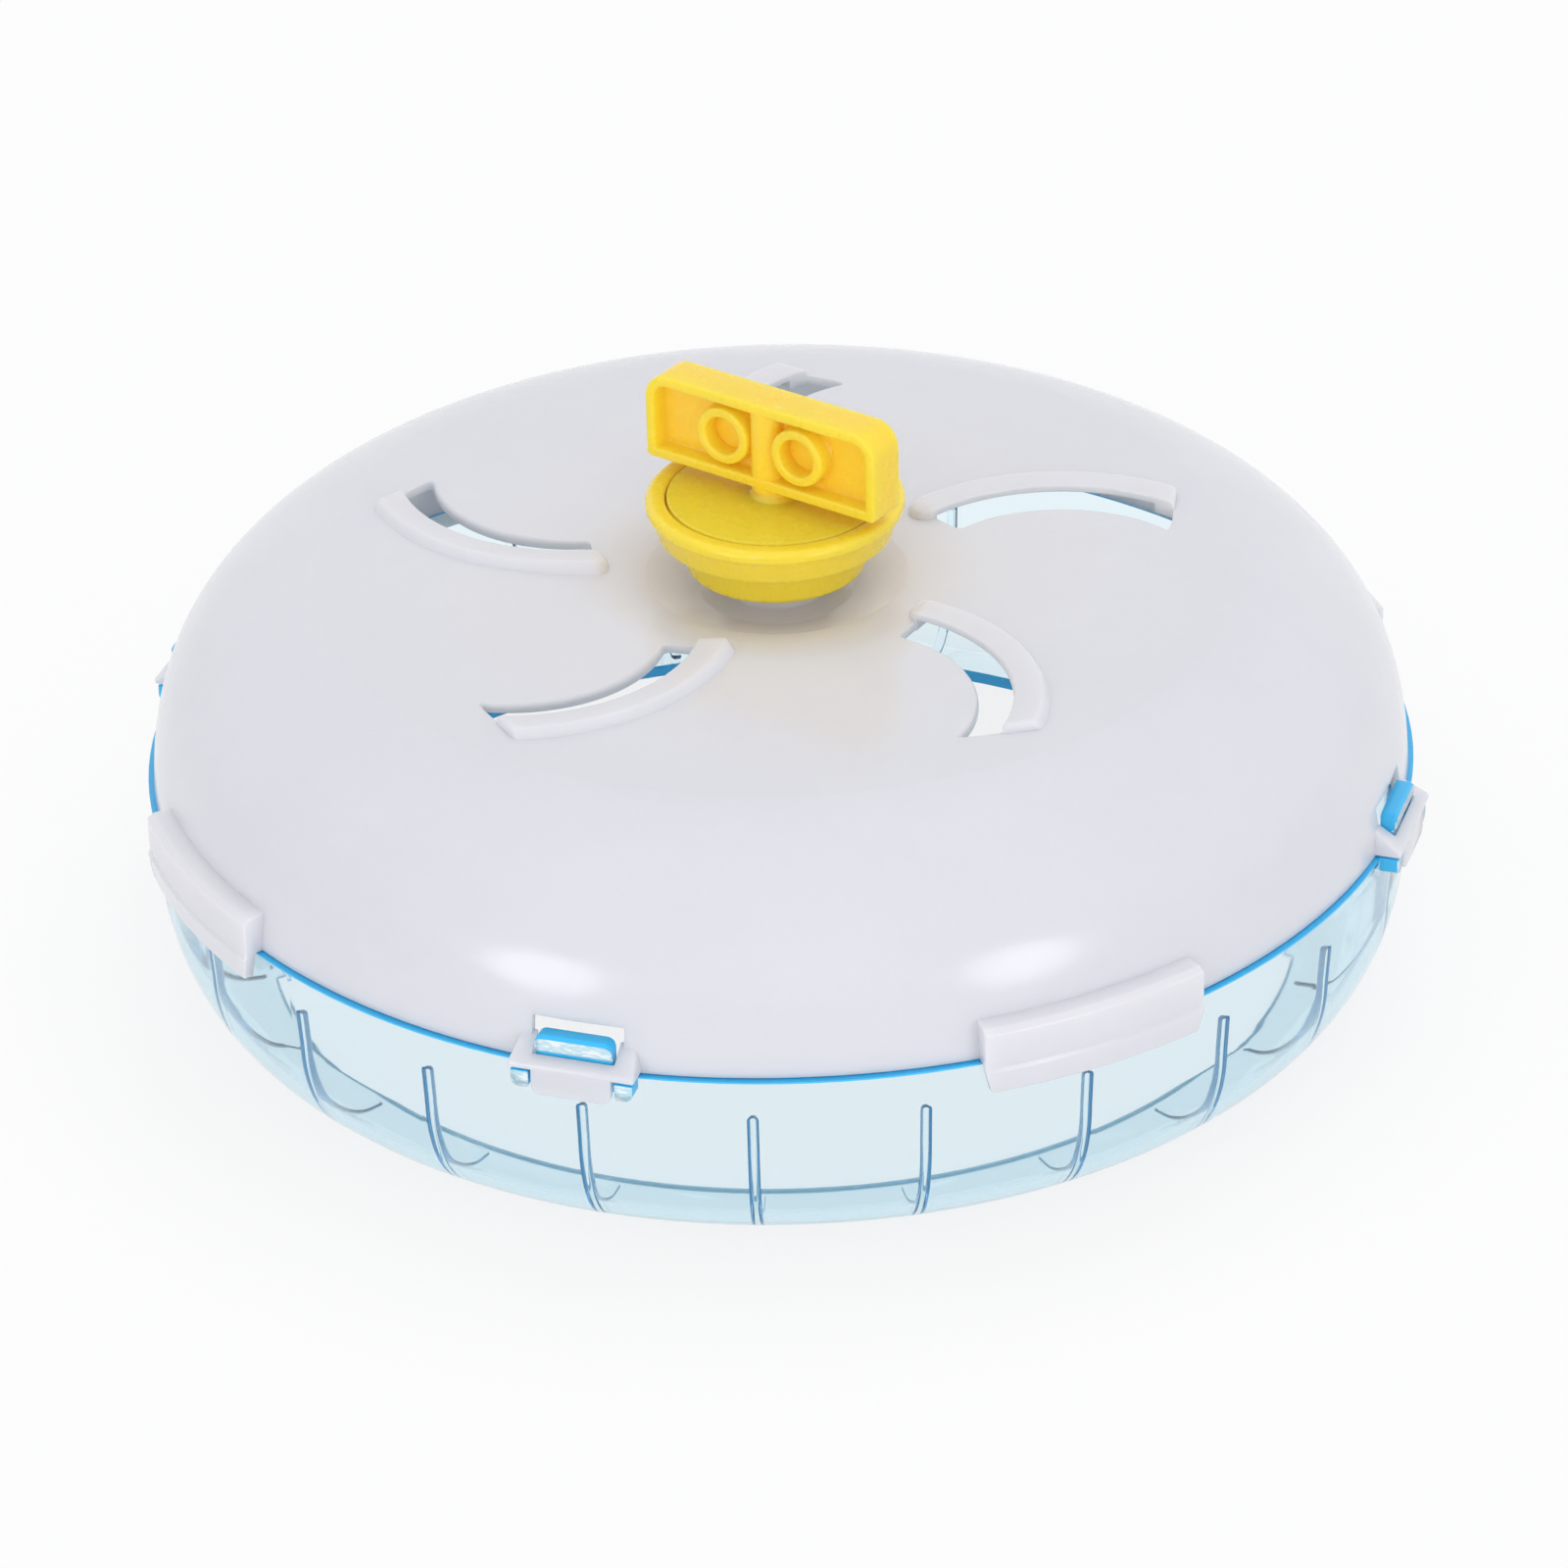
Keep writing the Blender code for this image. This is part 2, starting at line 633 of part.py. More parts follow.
def guide_tab(angle, group):
    """Make one long guide tab, which follows the rim and hangs over the front shell's edge."""
    inner = BACK_RADIUS - BACK_WALL / 2
    section = [(inner, GUIDE_TOP), (GUIDE_REACH - GUIDE_EDGE_WIDTH, GUIDE_TOP),
               (GUIDE_REACH, GUIDE_TOP - GUIDE_EDGE_HEIGHT), (GUIDE_REACH, GUIDE_WAIST),
               (GUIDE_REACH - GUIDE_TAPER, -GUIDE_DROP), (OVER_RIM, -GUIDE_DROP),
               (OVER_RIM, SEAM_EDGE), (inner, SEAM_EDGE)]
    half = math.degrees(GUIDE_HALF_LENGTH / GUIDE_REACH)
    base = angle - 90
    return sector("guide", section, Vector((0, 0, 0)), base - half, base + half, CORNER_STEPS, group)


def clip_windows(group):
    """Make the cutters for the windows in the back shell's wall behind the clips."""
    windows = []
    for number in range(CLIP_COUNT):
        low = (CROWN_RADIUS, -WINDOW_HALF_WIDTH, -OVERRUN)
        high = (RIM_RADIUS + OVERRUN, WINDOW_HALF_WIDTH, WINDOW_TOP)
        windows.append(box("window", low, high, floor_plane(number * 360 / CLIP_COUNT), group))
    return joined_mesh("windows", windows, group)


def back_shell(parent, group):
    """Make the white back shell with its collar, stub axle, vents, clip loops and guide tabs."""
    shell = turned("back_shell", back_profile(), SHELL_STEPS, group, closed=False)
    shell = fuse(shell, vent_hoods(group))
    slots, hollows = vent_slots(group)
    shell = cut(shell, slots)
    shell = cut(shell, hollows)
    shell = cut(shell, clip_windows(group))
    extras = []
    for number in range(CLIP_COUNT):
        angle = number * 360 / CLIP_COUNT
        extras.append(clip_loop(angle, group))
        extras.append(guide_tab(angle + GUIDE_START_ANGLE, group))
    shell = fuse(shell, joined_mesh("back_extras", extras, group))
    return finished(shell, WHITE, parent)


def hub_cup(parent, group):
    """Make the yellow cup that holds the bearing, with its stepped side and its flange."""
    foot = CUP_FOOT_RADIUS
    band_top = BAND_RADIUS + BAND_TAPER
    well = WELL_RADIUS
    hole = COLLAR_RADIUS + CLEARANCE
    corner = (FLANGE_RADIUS - FLANGE_ROUND, LID_LEVEL - FLANGE_ROUND)
    profile = [(well, LID_LEVEL)]
    profile += ellipse(corner, FLANGE_ROUND, FLANGE_ROUND, 90, 0, ROUND_STEPS)
    profile += [(FLANGE_RADIUS, FLANGE_LEVEL), (band_top, FLANGE_LEVEL), (BAND_RADIUS, BAND_LEVEL),
                (WAIST_RADIUS, BAND_LEVEL), (foot, CUP_LEVEL + CUP_EDGE), (foot - CUP_EDGE, CUP_LEVEL),
                (hole, CUP_LEVEL), (hole, CUP_LEVEL + CUP_FLOOR), (POCKET_RADIUS, CUP_LEVEL + CUP_FLOOR),
                (POCKET_RADIUS, BAND_LEVEL + BAND_FLOOR), (well - LEDGE_WIDTH, BAND_LEVEL + BAND_FLOOR),
                (well - LEDGE_WIDTH, LEDGE_LEVEL), (well, LEDGE_LEVEL)]
    cup = turned("hub_cup", profile, HUB_STEPS, group)
    return finished(cup, YELLOW, parent)


def key_plate(place, group):
    """Make the hollow key plate with its post and its two round bosses, open to the front."""
    half = PLATE_LENGTH / 2
    top = PLATE_LEVEL + PLATE_HEIGHT
    front = PLATE_THICKNESS / 2
    outline = rounded_outline(-half, half, PLATE_LEVEL, top, PLATE_FOOT_CORNER, PLATE_TOP_CORNER)
    plate = prism("key_plate", outline, PLATE_THICKNESS, place, group)
    tray = rounded_outline(-half + PLATE_WALL, half - PLATE_WALL, PLATE_LEVEL + PLATE_WALL, top - PLATE_WALL,
                           PLATE_FOOT_CORNER, PLATE_TOP_CORNER - PLATE_WALL)
    depth = PLATE_THICKNESS - PLATE_WALL
    tray_place = place @ Matrix.Translation((0, 0, front - depth / 2 + OVERRUN / 2))
    plate = cut(plate, prism("tray", tray, depth + OVERRUN, tray_place, group))
    middle = PLATE_LEVEL + PLATE_HEIGHT / 2
    boss_depth = depth + EMBED
    for side in (-1, 1):
        spot = place @ Matrix.Translation((side * BOSS_SPACING / 2, middle, front - boss_depth / 2))
        plate = fuse(plate, rod("boss", BOSS_RADIUS, boss_depth, SCREW_STEPS, spot, group))
    post_height = PLATE_HEIGHT - PLATE_WALL
    upright = Matrix.Rotation(math.radians(90), 4, "X")
    spot = place @ Matrix.Translation((0, PLATE_LEVEL + PLATE_HEIGHT / 2, front - POST_RADIUS)) @ upright
    plate = fuse(plate, rod("post", POST_RADIUS, post_height, SCREW_STEPS, spot, group))
    for side in (-1, 1):
        spot = place @ Matrix.Translation((side * BOSS_SPACING / 2, middle, front - depth / 2 + OVERRUN / 2))
        plate = cut(plate, rod("boss_bore", BOSS_BORE_RADIUS, depth + OVERRUN, SCREW_STEPS, spot, group))
    return plate


def key_lid(parent, group):
    """Make the lid of the hub cup, with the neck and the key plate that stand on it."""
    profile = [(0, PLATE_LEVEL + PLATE_WALL / 2), (NECK_RADIUS, PLATE_LEVEL + PLATE_WALL / 2),
               (NECK_RADIUS, LID_LEVEL + NECK_FOOT), (NECK_RADIUS + NECK_FOOT, LID_LEVEL),
               (LID_RADIUS, LID_LEVEL), (LID_RADIUS, LID_FOOT),
               (LID_POCKET_RADIUS, LID_FOOT), (LID_POCKET_RADIUS, LID_POCKET_LEVEL),
               (0, LID_POCKET_LEVEL)]
    lid = turned("key_lid", profile, HUB_STEPS, group, closed=False)
    turn = math.radians(PLATE_ANGLE)
    along = Vector((math.cos(turn), math.sin(turn), 0))
    place = basis(along, Vector((0, 0, 1)), Vector((0, 0, 0)))
    lid = fuse(lid, key_plate(place, group))
    return finished(lid, YELLOW, parent)


def bearing_ring(name, near_side, far_side, parent, group):
    """Make one bearing ring: plain on its near side, with a ball groove in its far side."""
    half = BEARING_WIDTH / 2
    groove = BALL_RADIUS + BEARING_CLEARANCE
    reach = math.sqrt(groove ** 2 - (PITCH_RADIUS - far_side) ** 2)
    tilt = math.degrees(math.asin(reach / groove))
    inward = far_side > near_side
    middle = 180 if inward else 0
    arc = ellipse((PITCH_RADIUS, 0), groove, groove, middle - tilt, middle + tilt, ROUND_STEPS)
    if inward:
        profile = [(near_side, half), (far_side, half)] + arc + [(far_side, -half), (near_side, -half)]
    else:
        profile = [(near_side, half), (near_side, -half), (far_side, -half)] + arc + [(far_side, half)]
    ring = turned(name, profile, BEARING_STEPS, group)
    return finished(ring, STEEL, parent, BALL_LEVEL)


def bearing_shield(name, side, parent, group):
    """Make one thin steel shield between the bearing's rings, fixed in the outer one."""
    inner = BORE_RADIUS + RING_THICKNESS + BEARING_CLEARANCE
    outer = BEARING_RADIUS - RING_THICKNESS - BEARING_CLEARANCE / 2
    half = SHIELD_THICKNESS / 2
    profile = [(outer, half), (outer, -half), (inner, -half), (inner, half)]
    shield = turned(name, profile, BEARING_STEPS, group)
    level = BALL_LEVEL + side * (BEARING_WIDTH / 2 - SHIELD_INSET - half)
    return finished(shield, ZINC, parent, level)


def ball_spots():
    """Return the angle of each ball round the bearing."""
    return [number * 360 / BALL_COUNT for number in range(BALL_COUNT)]


def ball_mesh(radius, name):
    """Make a sphere's mesh."""
    work = bmesh.new()
    bmesh.ops.create_uvsphere(work, u_segments=BALL_STEPS, v_segments=BALL_RINGS, radius=radius)
    mesh = bpy.data.meshes.new(name)
    work.to_mesh(mesh)
    work.free()
    return mesh


def bearing_balls(parent, group):
    """Make the balls, each its own object on the pitch circle."""
    mesh = ball_mesh(BALL_RADIUS, "bearing_ball")
    mesh.materials.append(finish_material(STEEL))
    mesh.shade_smooth()
    for number, angle in enumerate(ball_spots(), start=1):
        outward, _ = facing(angle)
        ball = add_object(f"bearing_ball_{number:02d}", mesh, group)
        ball.parent = parent
        ball.location = outward * PITCH_RADIUS + Vector((0, 0, BALL_LEVEL))


def bearing_cage(parent, group):
    """Make the crown cage that spaces the balls, joined by a ring below them."""
    half = CAGE_THICKNESS / 2
    pocket = BALL_RADIUS + BEARING_CLEARANCE
    base = -pocket - CAGE_BASE
    profile = [(PITCH_RADIUS + half, CAGE_TOP), (PITCH_RADIUS + half, base),
               (PITCH_RADIUS - half, base), (PITCH_RADIUS - half, CAGE_TOP)]
    cage = turned("bearing_cage", profile, BEARING_STEPS, group)
    pockets = []
    for angle in ball_spots():
        outward, _ = facing(angle)
        spot = add_object("pocket", ball_mesh(pocket, "pocket"), group)
        spot.data.transform(Matrix.Translation(outward * PITCH_RADIUS))
        pockets.append(spot)
    cage = cut(cage, joined_mesh("pockets", pockets, group))
    return finished(cage, NYLON, parent, BALL_LEVEL)


def retaining_washer(parent, group):
    """Make the washer that spans from the screw to the bearing's inner ring."""
    hole = SCREW_RADIUS + BEARING_CLEARANCE
    profile = [(WASHER_RADIUS, WASHER_THICKNESS), (WASHER_RADIUS, 0), (hole, 0), (hole, WASHER_THICKNESS)]
    washer = turned("retaining_washer", profile, BEARING_STEPS, group)
    return finished(washer, ZINC, parent, WASHER_LEVEL)


def retaining_screw(parent, group):
    """Make the screw that holds the wheel on the bearing, with a cross drive in its round head."""
    corner = (HEAD_RADIUS - HEAD_ROUND, HEAD_HEIGHT - HEAD_ROUND)
    profile = [(0, HEAD_HEIGHT)]
    profile += ellipse(corner, HEAD_ROUND, HEAD_ROUND, 90, 0, ROUND_STEPS)
    profile += [(HEAD_RADIUS, 0), (SCREW_RADIUS, 0), (SCREW_RADIUS, SCREW_TIP_LENGTH - SCREW_LENGTH),
                (SCREW_TIP_RADIUS, -SCREW_LENGTH), (0, -SCREW_LENGTH)]
    screw = turned("retaining_screw", profile, SCREW_STEPS, group, closed=False)
    low = (-DRIVE_LENGTH / 2, -DRIVE_WIDTH / 2, HEAD_HEIGHT - DRIVE_DEPTH)
    high = (DRIVE_LENGTH / 2, DRIVE_WIDTH / 2, HEAD_HEIGHT + OVERRUN)
    for turn in (0, 90):
        place = Matrix.Rotation(math.radians(turn), 4, "Z")
        screw = cut(screw, box("drive", low, high, place, group))
    return finished(screw, ZINC, parent, HEAD_LEVEL)


def build():
    """Build the whole wheel."""
    clear_scene()
    parts = new_collection("hamster_wheel")
    tools = new_collection("cutters")
    mount = axis_empty("mount_axis", FRONT_DEPTH, parts)
    wheel = axis_empty("wheel_axis", FRONT_DEPTH, parts)
    cage = axis_empty("cage_axis", FRONT_DEPTH, parts)
    pieces = [
        key_lid(mount, tools),
        hub_cup(mount, tools),
        bearing_ring("bearing_outer_ring", BEARING_RADIUS, BEARING_RADIUS - RING_THICKNESS, mount, tools),
        bearing_shield("bearing_shield_lower", -1, mount, tools),
        bearing_shield("bearing_shield_upper", 1, mount, tools),
        bearing_ring("bearing_inner_ring", BORE_RADIUS, BORE_RADIUS + RING_THICKNESS, wheel, tools),
        back_shell(wheel, tools),
        front_shell(wheel, tools),
        retaining_washer(wheel, tools),
        retaining_screw(wheel, tools),
        bearing_cage(cage, tools),
    ]
    for piece in pieces:
        tools.objects.unlink(piece)
        parts.objects.link(piece)
    bearing_balls(cage, parts)


build()
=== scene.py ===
"""Hamster exercise wheel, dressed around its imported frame.

A clear tinted front shell is clipped to a white back shell, and both turn on a ball bearing in a yellow
hub cup that a key plate holds to the bars of a cage. Lengths are in metres. A level is a height above the
seam where the two shells meet, and an angle called facing is measured from the front, seen from the axle.
"""
from __future__ import annotations

import logging
import math
from collections.abc import Callable, Iterable, Sequence
from dataclasses import dataclass
from enum import Enum

import bmesh
import bpy
from mathutils import Matrix, Vector


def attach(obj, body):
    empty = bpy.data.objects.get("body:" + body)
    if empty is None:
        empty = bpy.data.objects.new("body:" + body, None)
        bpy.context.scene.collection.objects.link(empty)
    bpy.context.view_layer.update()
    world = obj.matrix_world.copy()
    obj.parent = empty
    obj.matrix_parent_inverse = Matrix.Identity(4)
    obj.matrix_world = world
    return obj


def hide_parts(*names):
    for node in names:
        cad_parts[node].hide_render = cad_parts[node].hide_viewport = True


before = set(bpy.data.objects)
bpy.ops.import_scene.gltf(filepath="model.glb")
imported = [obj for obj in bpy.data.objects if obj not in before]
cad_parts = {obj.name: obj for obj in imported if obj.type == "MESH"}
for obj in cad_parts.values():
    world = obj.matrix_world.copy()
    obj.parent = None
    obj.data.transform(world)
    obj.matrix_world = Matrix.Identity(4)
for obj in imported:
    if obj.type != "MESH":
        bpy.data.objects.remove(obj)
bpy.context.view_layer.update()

Point = tuple[float, float]
Placing = Callable[[float, float, float], Vector]

SEAM_HEIGHT = 0.02265
SEAM_EDGE = 0.00005
TINY = 1e-7
OVERRUN = 0.002
SHARP_ANGLE = 34.0
UP = Vector((0, 0, 1))

log = logging.getLogger("wheel")


class Body(Enum):
    """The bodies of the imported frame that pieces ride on."""

    MOUNT = "mount"
    WHEEL = "wheel"
    CAGE = "cage"


class Slot(Enum):
    """The record's material slots."""

    WHITE = "white"
    BLUE = "blue"
    YELLOW = "yellow"
    STEEL = "steel"
    ZINC = "zinc"
    NYLON = "nylon"


class Join(Enum):
    """The two ways in which solids are combined."""

    CUT = "DIFFERENCE"
    FUSE = "UNION"


# Outlines in a plane


def arc(centre: Point, radius: float, start: float, end: float, steps: int) -> list[Point]:
    """Return points along an arc.

    Args:
        centre: The arc's centre.
        radius: Its radius.
        start: The first point's angle in degrees.
        end: The last point's angle in degrees.
        steps: How many chords the arc has.

    Returns:
        One point more than there are chords.
    """
    turns = [math.radians(start + (end - start) * k / steps) for k in range(steps + 1)]
    return [(centre[0] + radius * math.cos(t), centre[1] + radius * math.sin(t)) for t in turns]


def fillet(points: Sequence[Point], radii: float | Sequence[float], steps: int = 5,
           closed: bool = True) -> list[Point]:
    """Round the corners of an outline.

    Args:
        points: The outline's corners in order.
        radii: One radius for all corners, or one for each.
        steps: How many chords each rounded corner has.
        closed: Whether the last corner joins the first.

    Returns:
        The rounded outline's points.
    """
    count = len(points)
    sizes = [radii] * count if isinstance(radii, (int, float)) else list(radii)
    rounded: list[Point] = []
    for i, (point, radius) in enumerate(zip(points, sizes)):
        if radius <= 0 or (not closed and i in (0, count - 1)):
            rounded.append(point)
            continue
        corner = Vector(point)
        before = Vector(points[i - 1]) - corner
        after = Vector(points[(i + 1) % count]) - corner
        reach = 0.49 * min(before.length, after.length)
        before.normalize()
        after.normalize()
        half = math.acos(max(-1.0, min(1.0, before.dot(after)))) / 2
        if half < 0.01 or half > math.pi / 2 - 0.01:
            rounded.append(point)
            continue
        length = min(radius / math.tan(half), reach)
        radius = length * math.tan(half)
        centre = corner + (before + after).normalized() * (radius / math.sin(half))
        first = corner + before * length - centre
        last = corner + after * length - centre
        sweep = math.pi - 2 * half
        for k in range(steps + 1):
            share = k / steps
            mixed = first * (math.sin((1 - share) * sweep)) + last * (math.sin(share * sweep))
            spot = centre + mixed / math.sin(sweep)
            rounded.append((spot.x, spot.y))
    return rounded


def rounded_rectangle(low: Point, high: Point, foot: float, head: float, steps: int = 6) -> list[Point]:
    """Return a rectangle with rounded lower and upper corners, always with the same number of points."""
    left, bottom = low
    right, top = high
    points = arc((right - foot, bottom + foot), foot, -90, 0, steps)
    points += arc((right - head, top - head), head, 0, 90, steps)
    points += arc((left + head, top - head), head, 90, 180, steps)
    points += arc((left + foot, bottom + foot), foot, 180, 270, steps)
    return points


def signed_area(points: Sequence[Point]) -> float:
    """Return an outline's area, positive where it runs anticlockwise."""
    return sum(a[0] * b[1] - b[0] * a[1] for a, b in zip(points, [*points[1:], points[0]])) / 2


def inset(points: Sequence[Point], distance: float) -> list[Point]:
    """Move an anticlockwise outline inwards.

    Args:
        points: The outline.
        distance: How far each side moves.

    Returns:
        The smaller outline, with as many points.
    """
    count = len(points)
    moved: list[Point] = []
    for i, point in enumerate(points):
        before = Vector(point) - Vector(points[i - 1])
        after = Vector(points[(i + 1) % count]) - Vector(point)
        sides = [Vector((-d.y, d.x)).normalized() for d in (before, after) if d.length > TINY]
        total = sides[0] + sides[-1]
        lean = total * (1 / max(0.4, 1 + sides[0].dot(sides[-1])))
        moved.append((point[0] + lean.x * distance, point[1] + lean.y * distance))
    return moved


# Placing functions: from flat (u, v, t) to the frame


def directions(angle: float) -> tuple[Vector, Vector]:
    """Return the outward and the sideways direction at a facing angle in degrees."""
    turn = math.radians(angle)
    return Vector((math.sin(turn), -math.cos(turn), 0)), Vector((math.cos(turn), math.sin(turn), 0))


def side_view(angle: float = 0.0) -> Placing:
    """Place u outward from the axle, v as level and t sideways."""
    outward, sideways = directions(angle)
    return lambda u, v, t: outward * u + sideways * t + UP * (SEAM_HEIGHT + v)


def front_view(angle: float = 0.0) -> Placing:
    """Place u sideways, v as level and t outward from the axle."""
    outward, sideways = directions(angle)
    return lambda u, v, t: outward * t + sideways * u + UP * (SEAM_HEIGHT + v)


# Meshes


def new_object(name: str, work: bmesh.types.BMesh) -> bpy.types.Object:
    """Turn working mesh data into a linked object with its faces outwards.

    Args:
        name: The object's name.
        work: The mesh data, which is freed.

    Returns:
        The new object.
    """
    bmesh.ops.remove_doubles(work, verts=work.verts, dist=TINY)
    bmesh.ops.recalc_face_normals(work, faces=work.faces)
    mesh = bpy.data.meshes.new(name)
    work.to_mesh(mesh)
    work.free()
    thing = bpy.data.objects.new(name, mesh)
    bpy.context.scene.collection.objects.link(thing)
    return thing


def faced(work: bmesh.types.BMesh, rings: Sequence[Sequence[bmesh.types.BMVert]]) -> None:
    """Span faces between closed rings of corners, where a ring of one corner is a pole."""
    for first, second in zip(rings, rings[1:]):
        for k in range(max(len(first), len(second))):
            corners = [first[k % len(first)], first[(k + 1) % len(first)],
                       second[(k + 1) % len(second)], second[k % len(second)]]
            if len(set(corners)) > 2:
                work.faces.new(list(dict.fromkeys(corners)))


def turned(name: str, profile: Sequence[Point], steps: int, axis: Vector | None = None) -> bpy.types.Object:
    """Turn a closed profile of (radius, level) points about an upright line.

    Args:
        name: The object's name.
        profile: The profile; it may start and end on the line.
        steps: How many steps make a full turn.
        axis: A point on the line, or None for the wheel's axle.

    Returns:
        The turned solid.
    """
    centre = axis or Vector((0, 0, 0))
    work = bmesh.new()
    rings: list[list[bmesh.types.BMVert]] = []
    for radius, level in profile:
        height = SEAM_HEIGHT + level
        if radius < TINY:
            rings.append([work.verts.new(centre + Vector((0, 0, height)))])
            continue
        turns = [2 * math.pi * k / steps for k in range(steps)]
        rings.append([work.verts.new(centre + Vector((radius * math.cos(t), radius * math.sin(t), height)))
                      for t in turns])
    faced(work, [*rings, rings[0]])
    return new_object(name, work)


def lofted(name: str, rings: Sequence[Sequence[Vector]]) -> bpy.types.Object:
    """Join closed rings of points, as many in each, into one capped solid.

    Args:
        name: The object's name.
        rings: The rings in order.

    Returns:
        The solid.
    """
    work = bmesh.new()
    made = [[work.verts.new(point) for point in ring] for ring in rings]
    faced(work, made)
    work.faces.new(made[0][::-1])
    work.faces.new(made[-1])
    return new_object(name, work)


def spread(start: float, end: float, steps: int) -> list[float]:
    """Return evenly spaced values from start to end."""
    return [start + (end - start) * k / steps for k in range(steps + 1)]


def slab(name: str, outline: Sequence[Point], low: float, high: float, edge: float, place: Placing,
         divisions: int = 1, steps: int = 4) -> bpy.types.Object:
    """Give an outline thickness, with rounded edges at both ends.

    Args:
        name: The object's name.
        outline: The outline in (u, v).
        low: Where it starts along t.
        high: Where it ends along t.
        edge: The radius of its rounded edges.
        place: What puts (u, v, t) in the frame.
        divisions: How many parts the straight stretch has.
        steps: How many chords each rounded edge has.

    Returns:
        The solid.
    """
    points = list(outline) if signed_area(outline) > 0 else list(outline)[::-1]
    bend = [(edge * (1 - run), edge * (1 - rise)) for run, rise in arc((0, 0), 1, 0, 90, steps)]
    stations = [(low + a, b) for a, b in bend]
    stations += [(t, 0.0) for t in spread(low + edge, high - edge, divisions)[1:-1]]
    stations += [(high - b, a) for a, b in bend]
    if edge == 0:
        stations = [(t, 0.0) for t in spread(low, high, divisions)]
    rings = [[place(u, v, t) for u, v in (inset(points, shift) if shift else points)]
             for t, shift in stations]
    return lofted(name, rings)


def plain_mesh(thing: bpy.types.Object) -> bpy.types.Object:
    """Replace an object's mesh by what its modifiers make, and drop the modifiers."""
    graph = bpy.context.evaluated_depsgraph_get()
    graph.update()
    mesh = bpy.data.meshes.new_from_object(thing.evaluated_get(graph))
    thing.modifiers.clear()
    thing.data = mesh
    return thing


def gathered(name: str, things: Iterable[bpy.types.Object]) -> bpy.types.Object:
    """Put several separate solids into one object.

    Args:
        name: The object's name.
        things: The solids, which are used up.

    Returns:
        The object that holds them all.
    """
    work = bmesh.new()
    for thing in list(things):
        work.from_mesh(thing.data)
        bpy.data.objects.remove(thing, do_unlink=True)
    mesh = bpy.data.meshes.new(name)
    work.to_mesh(mesh)
    work.free()
    made = bpy.data.objects.new(name, mesh)
    bpy.context.scene.collection.objects.link(made)
    return made


def combined(thing: bpy.types.Object, tool: bpy.types.Object, how: Join) -> bpy.types.Object:
    """Combine a solid with a tool, which is used up.

    Args:
        thing: The solid that stays.
        tool: The solid that works on it.
        how: The way they are combined.

    Returns:
        The changed solid.
    """
    step = thing.modifiers.new("combine", "BOOLEAN")
    step.operation = how.value
    step.solver = "EXACT"
    step.object = tool
    plain_mesh(thing)
    bpy.data.objects.remove(tool, do_unlink=True)
    return thing


def smoothed(thing: bpy.types.Object, angle: float = SHARP_ANGLE) -> bpy.types.Object:
    """Shade an object smooth, but for its sharp edges."""
    thing.data.shade_smooth()
    thing.data.set_sharp_from_angle(angle=math.radians(angle))
    return thing


def dressed(thing: bpy.types.Object, name: str, finish: "Finish", body: Body, slot: Slot,
            *nodes: str) -> bpy.types.Object:
    """Name a finished piece, give it its finish and set it in place of its CAD nodes.

    Args:
        thing: The piece.
        name: Its name.
        finish: Its finish.
        body: The body that it rides on.
        slot: The record's material slot; not used.
        nodes: The CAD nodes that it stands for.

    Returns:
        The piece.
    """
    thing.name = name
    thing.data.name = name
    thing.data.materials.clear()
    thing.data.materials.append(finish.material())
    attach(thing, body.value)
    if nodes:
        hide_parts(*nodes)
    log.info("%s: %d faces", name, len(thing.data.polygons))
    return thing


# Node trees


class Tree:
    """A node tree that is written one node at a time."""

    def __init__(self, tree: bpy.types.NodeTree) -> None:
        """Keep the tree."""
        self.tree = tree

    def add(self, kind: str, inputs: dict | None = None, **settings: object) -> bpy.types.Node:
        """Add a node.

        Args:
            kind: The node's type.
            inputs: What its sockets take, by name or number: values, or the sockets they are linked to.
            settings: The node's own settings.

        Returns:
            The node.
        """
        node = self.tree.nodes.new(kind)
        for key, value in settings.items():
            setattr(node, key, value)
        for key, value in (inputs or {}).items():
            if isinstance(value, bpy.types.NodeSocket):
                self.tree.links.new(value, node.inputs[key])
            else:
                node.inputs[key].default_value = value
        return node

    def value(self, kind: str, inputs: dict | None = None, out: int | str = 0,
              **settings: object) -> bpy.types.NodeSocket:
        """Add a node and return one of its outputs."""
        return self.add(kind, inputs, **settings).outputs[out]

    def math(self, operation: str, first: object, second: object = 0.0) -> bpy.types.NodeSocket:
        """Add a Math node on two values."""
        kind = "ShaderNodeMath"
        return self.value(kind, {0: first, 1: second}, operation=operation)


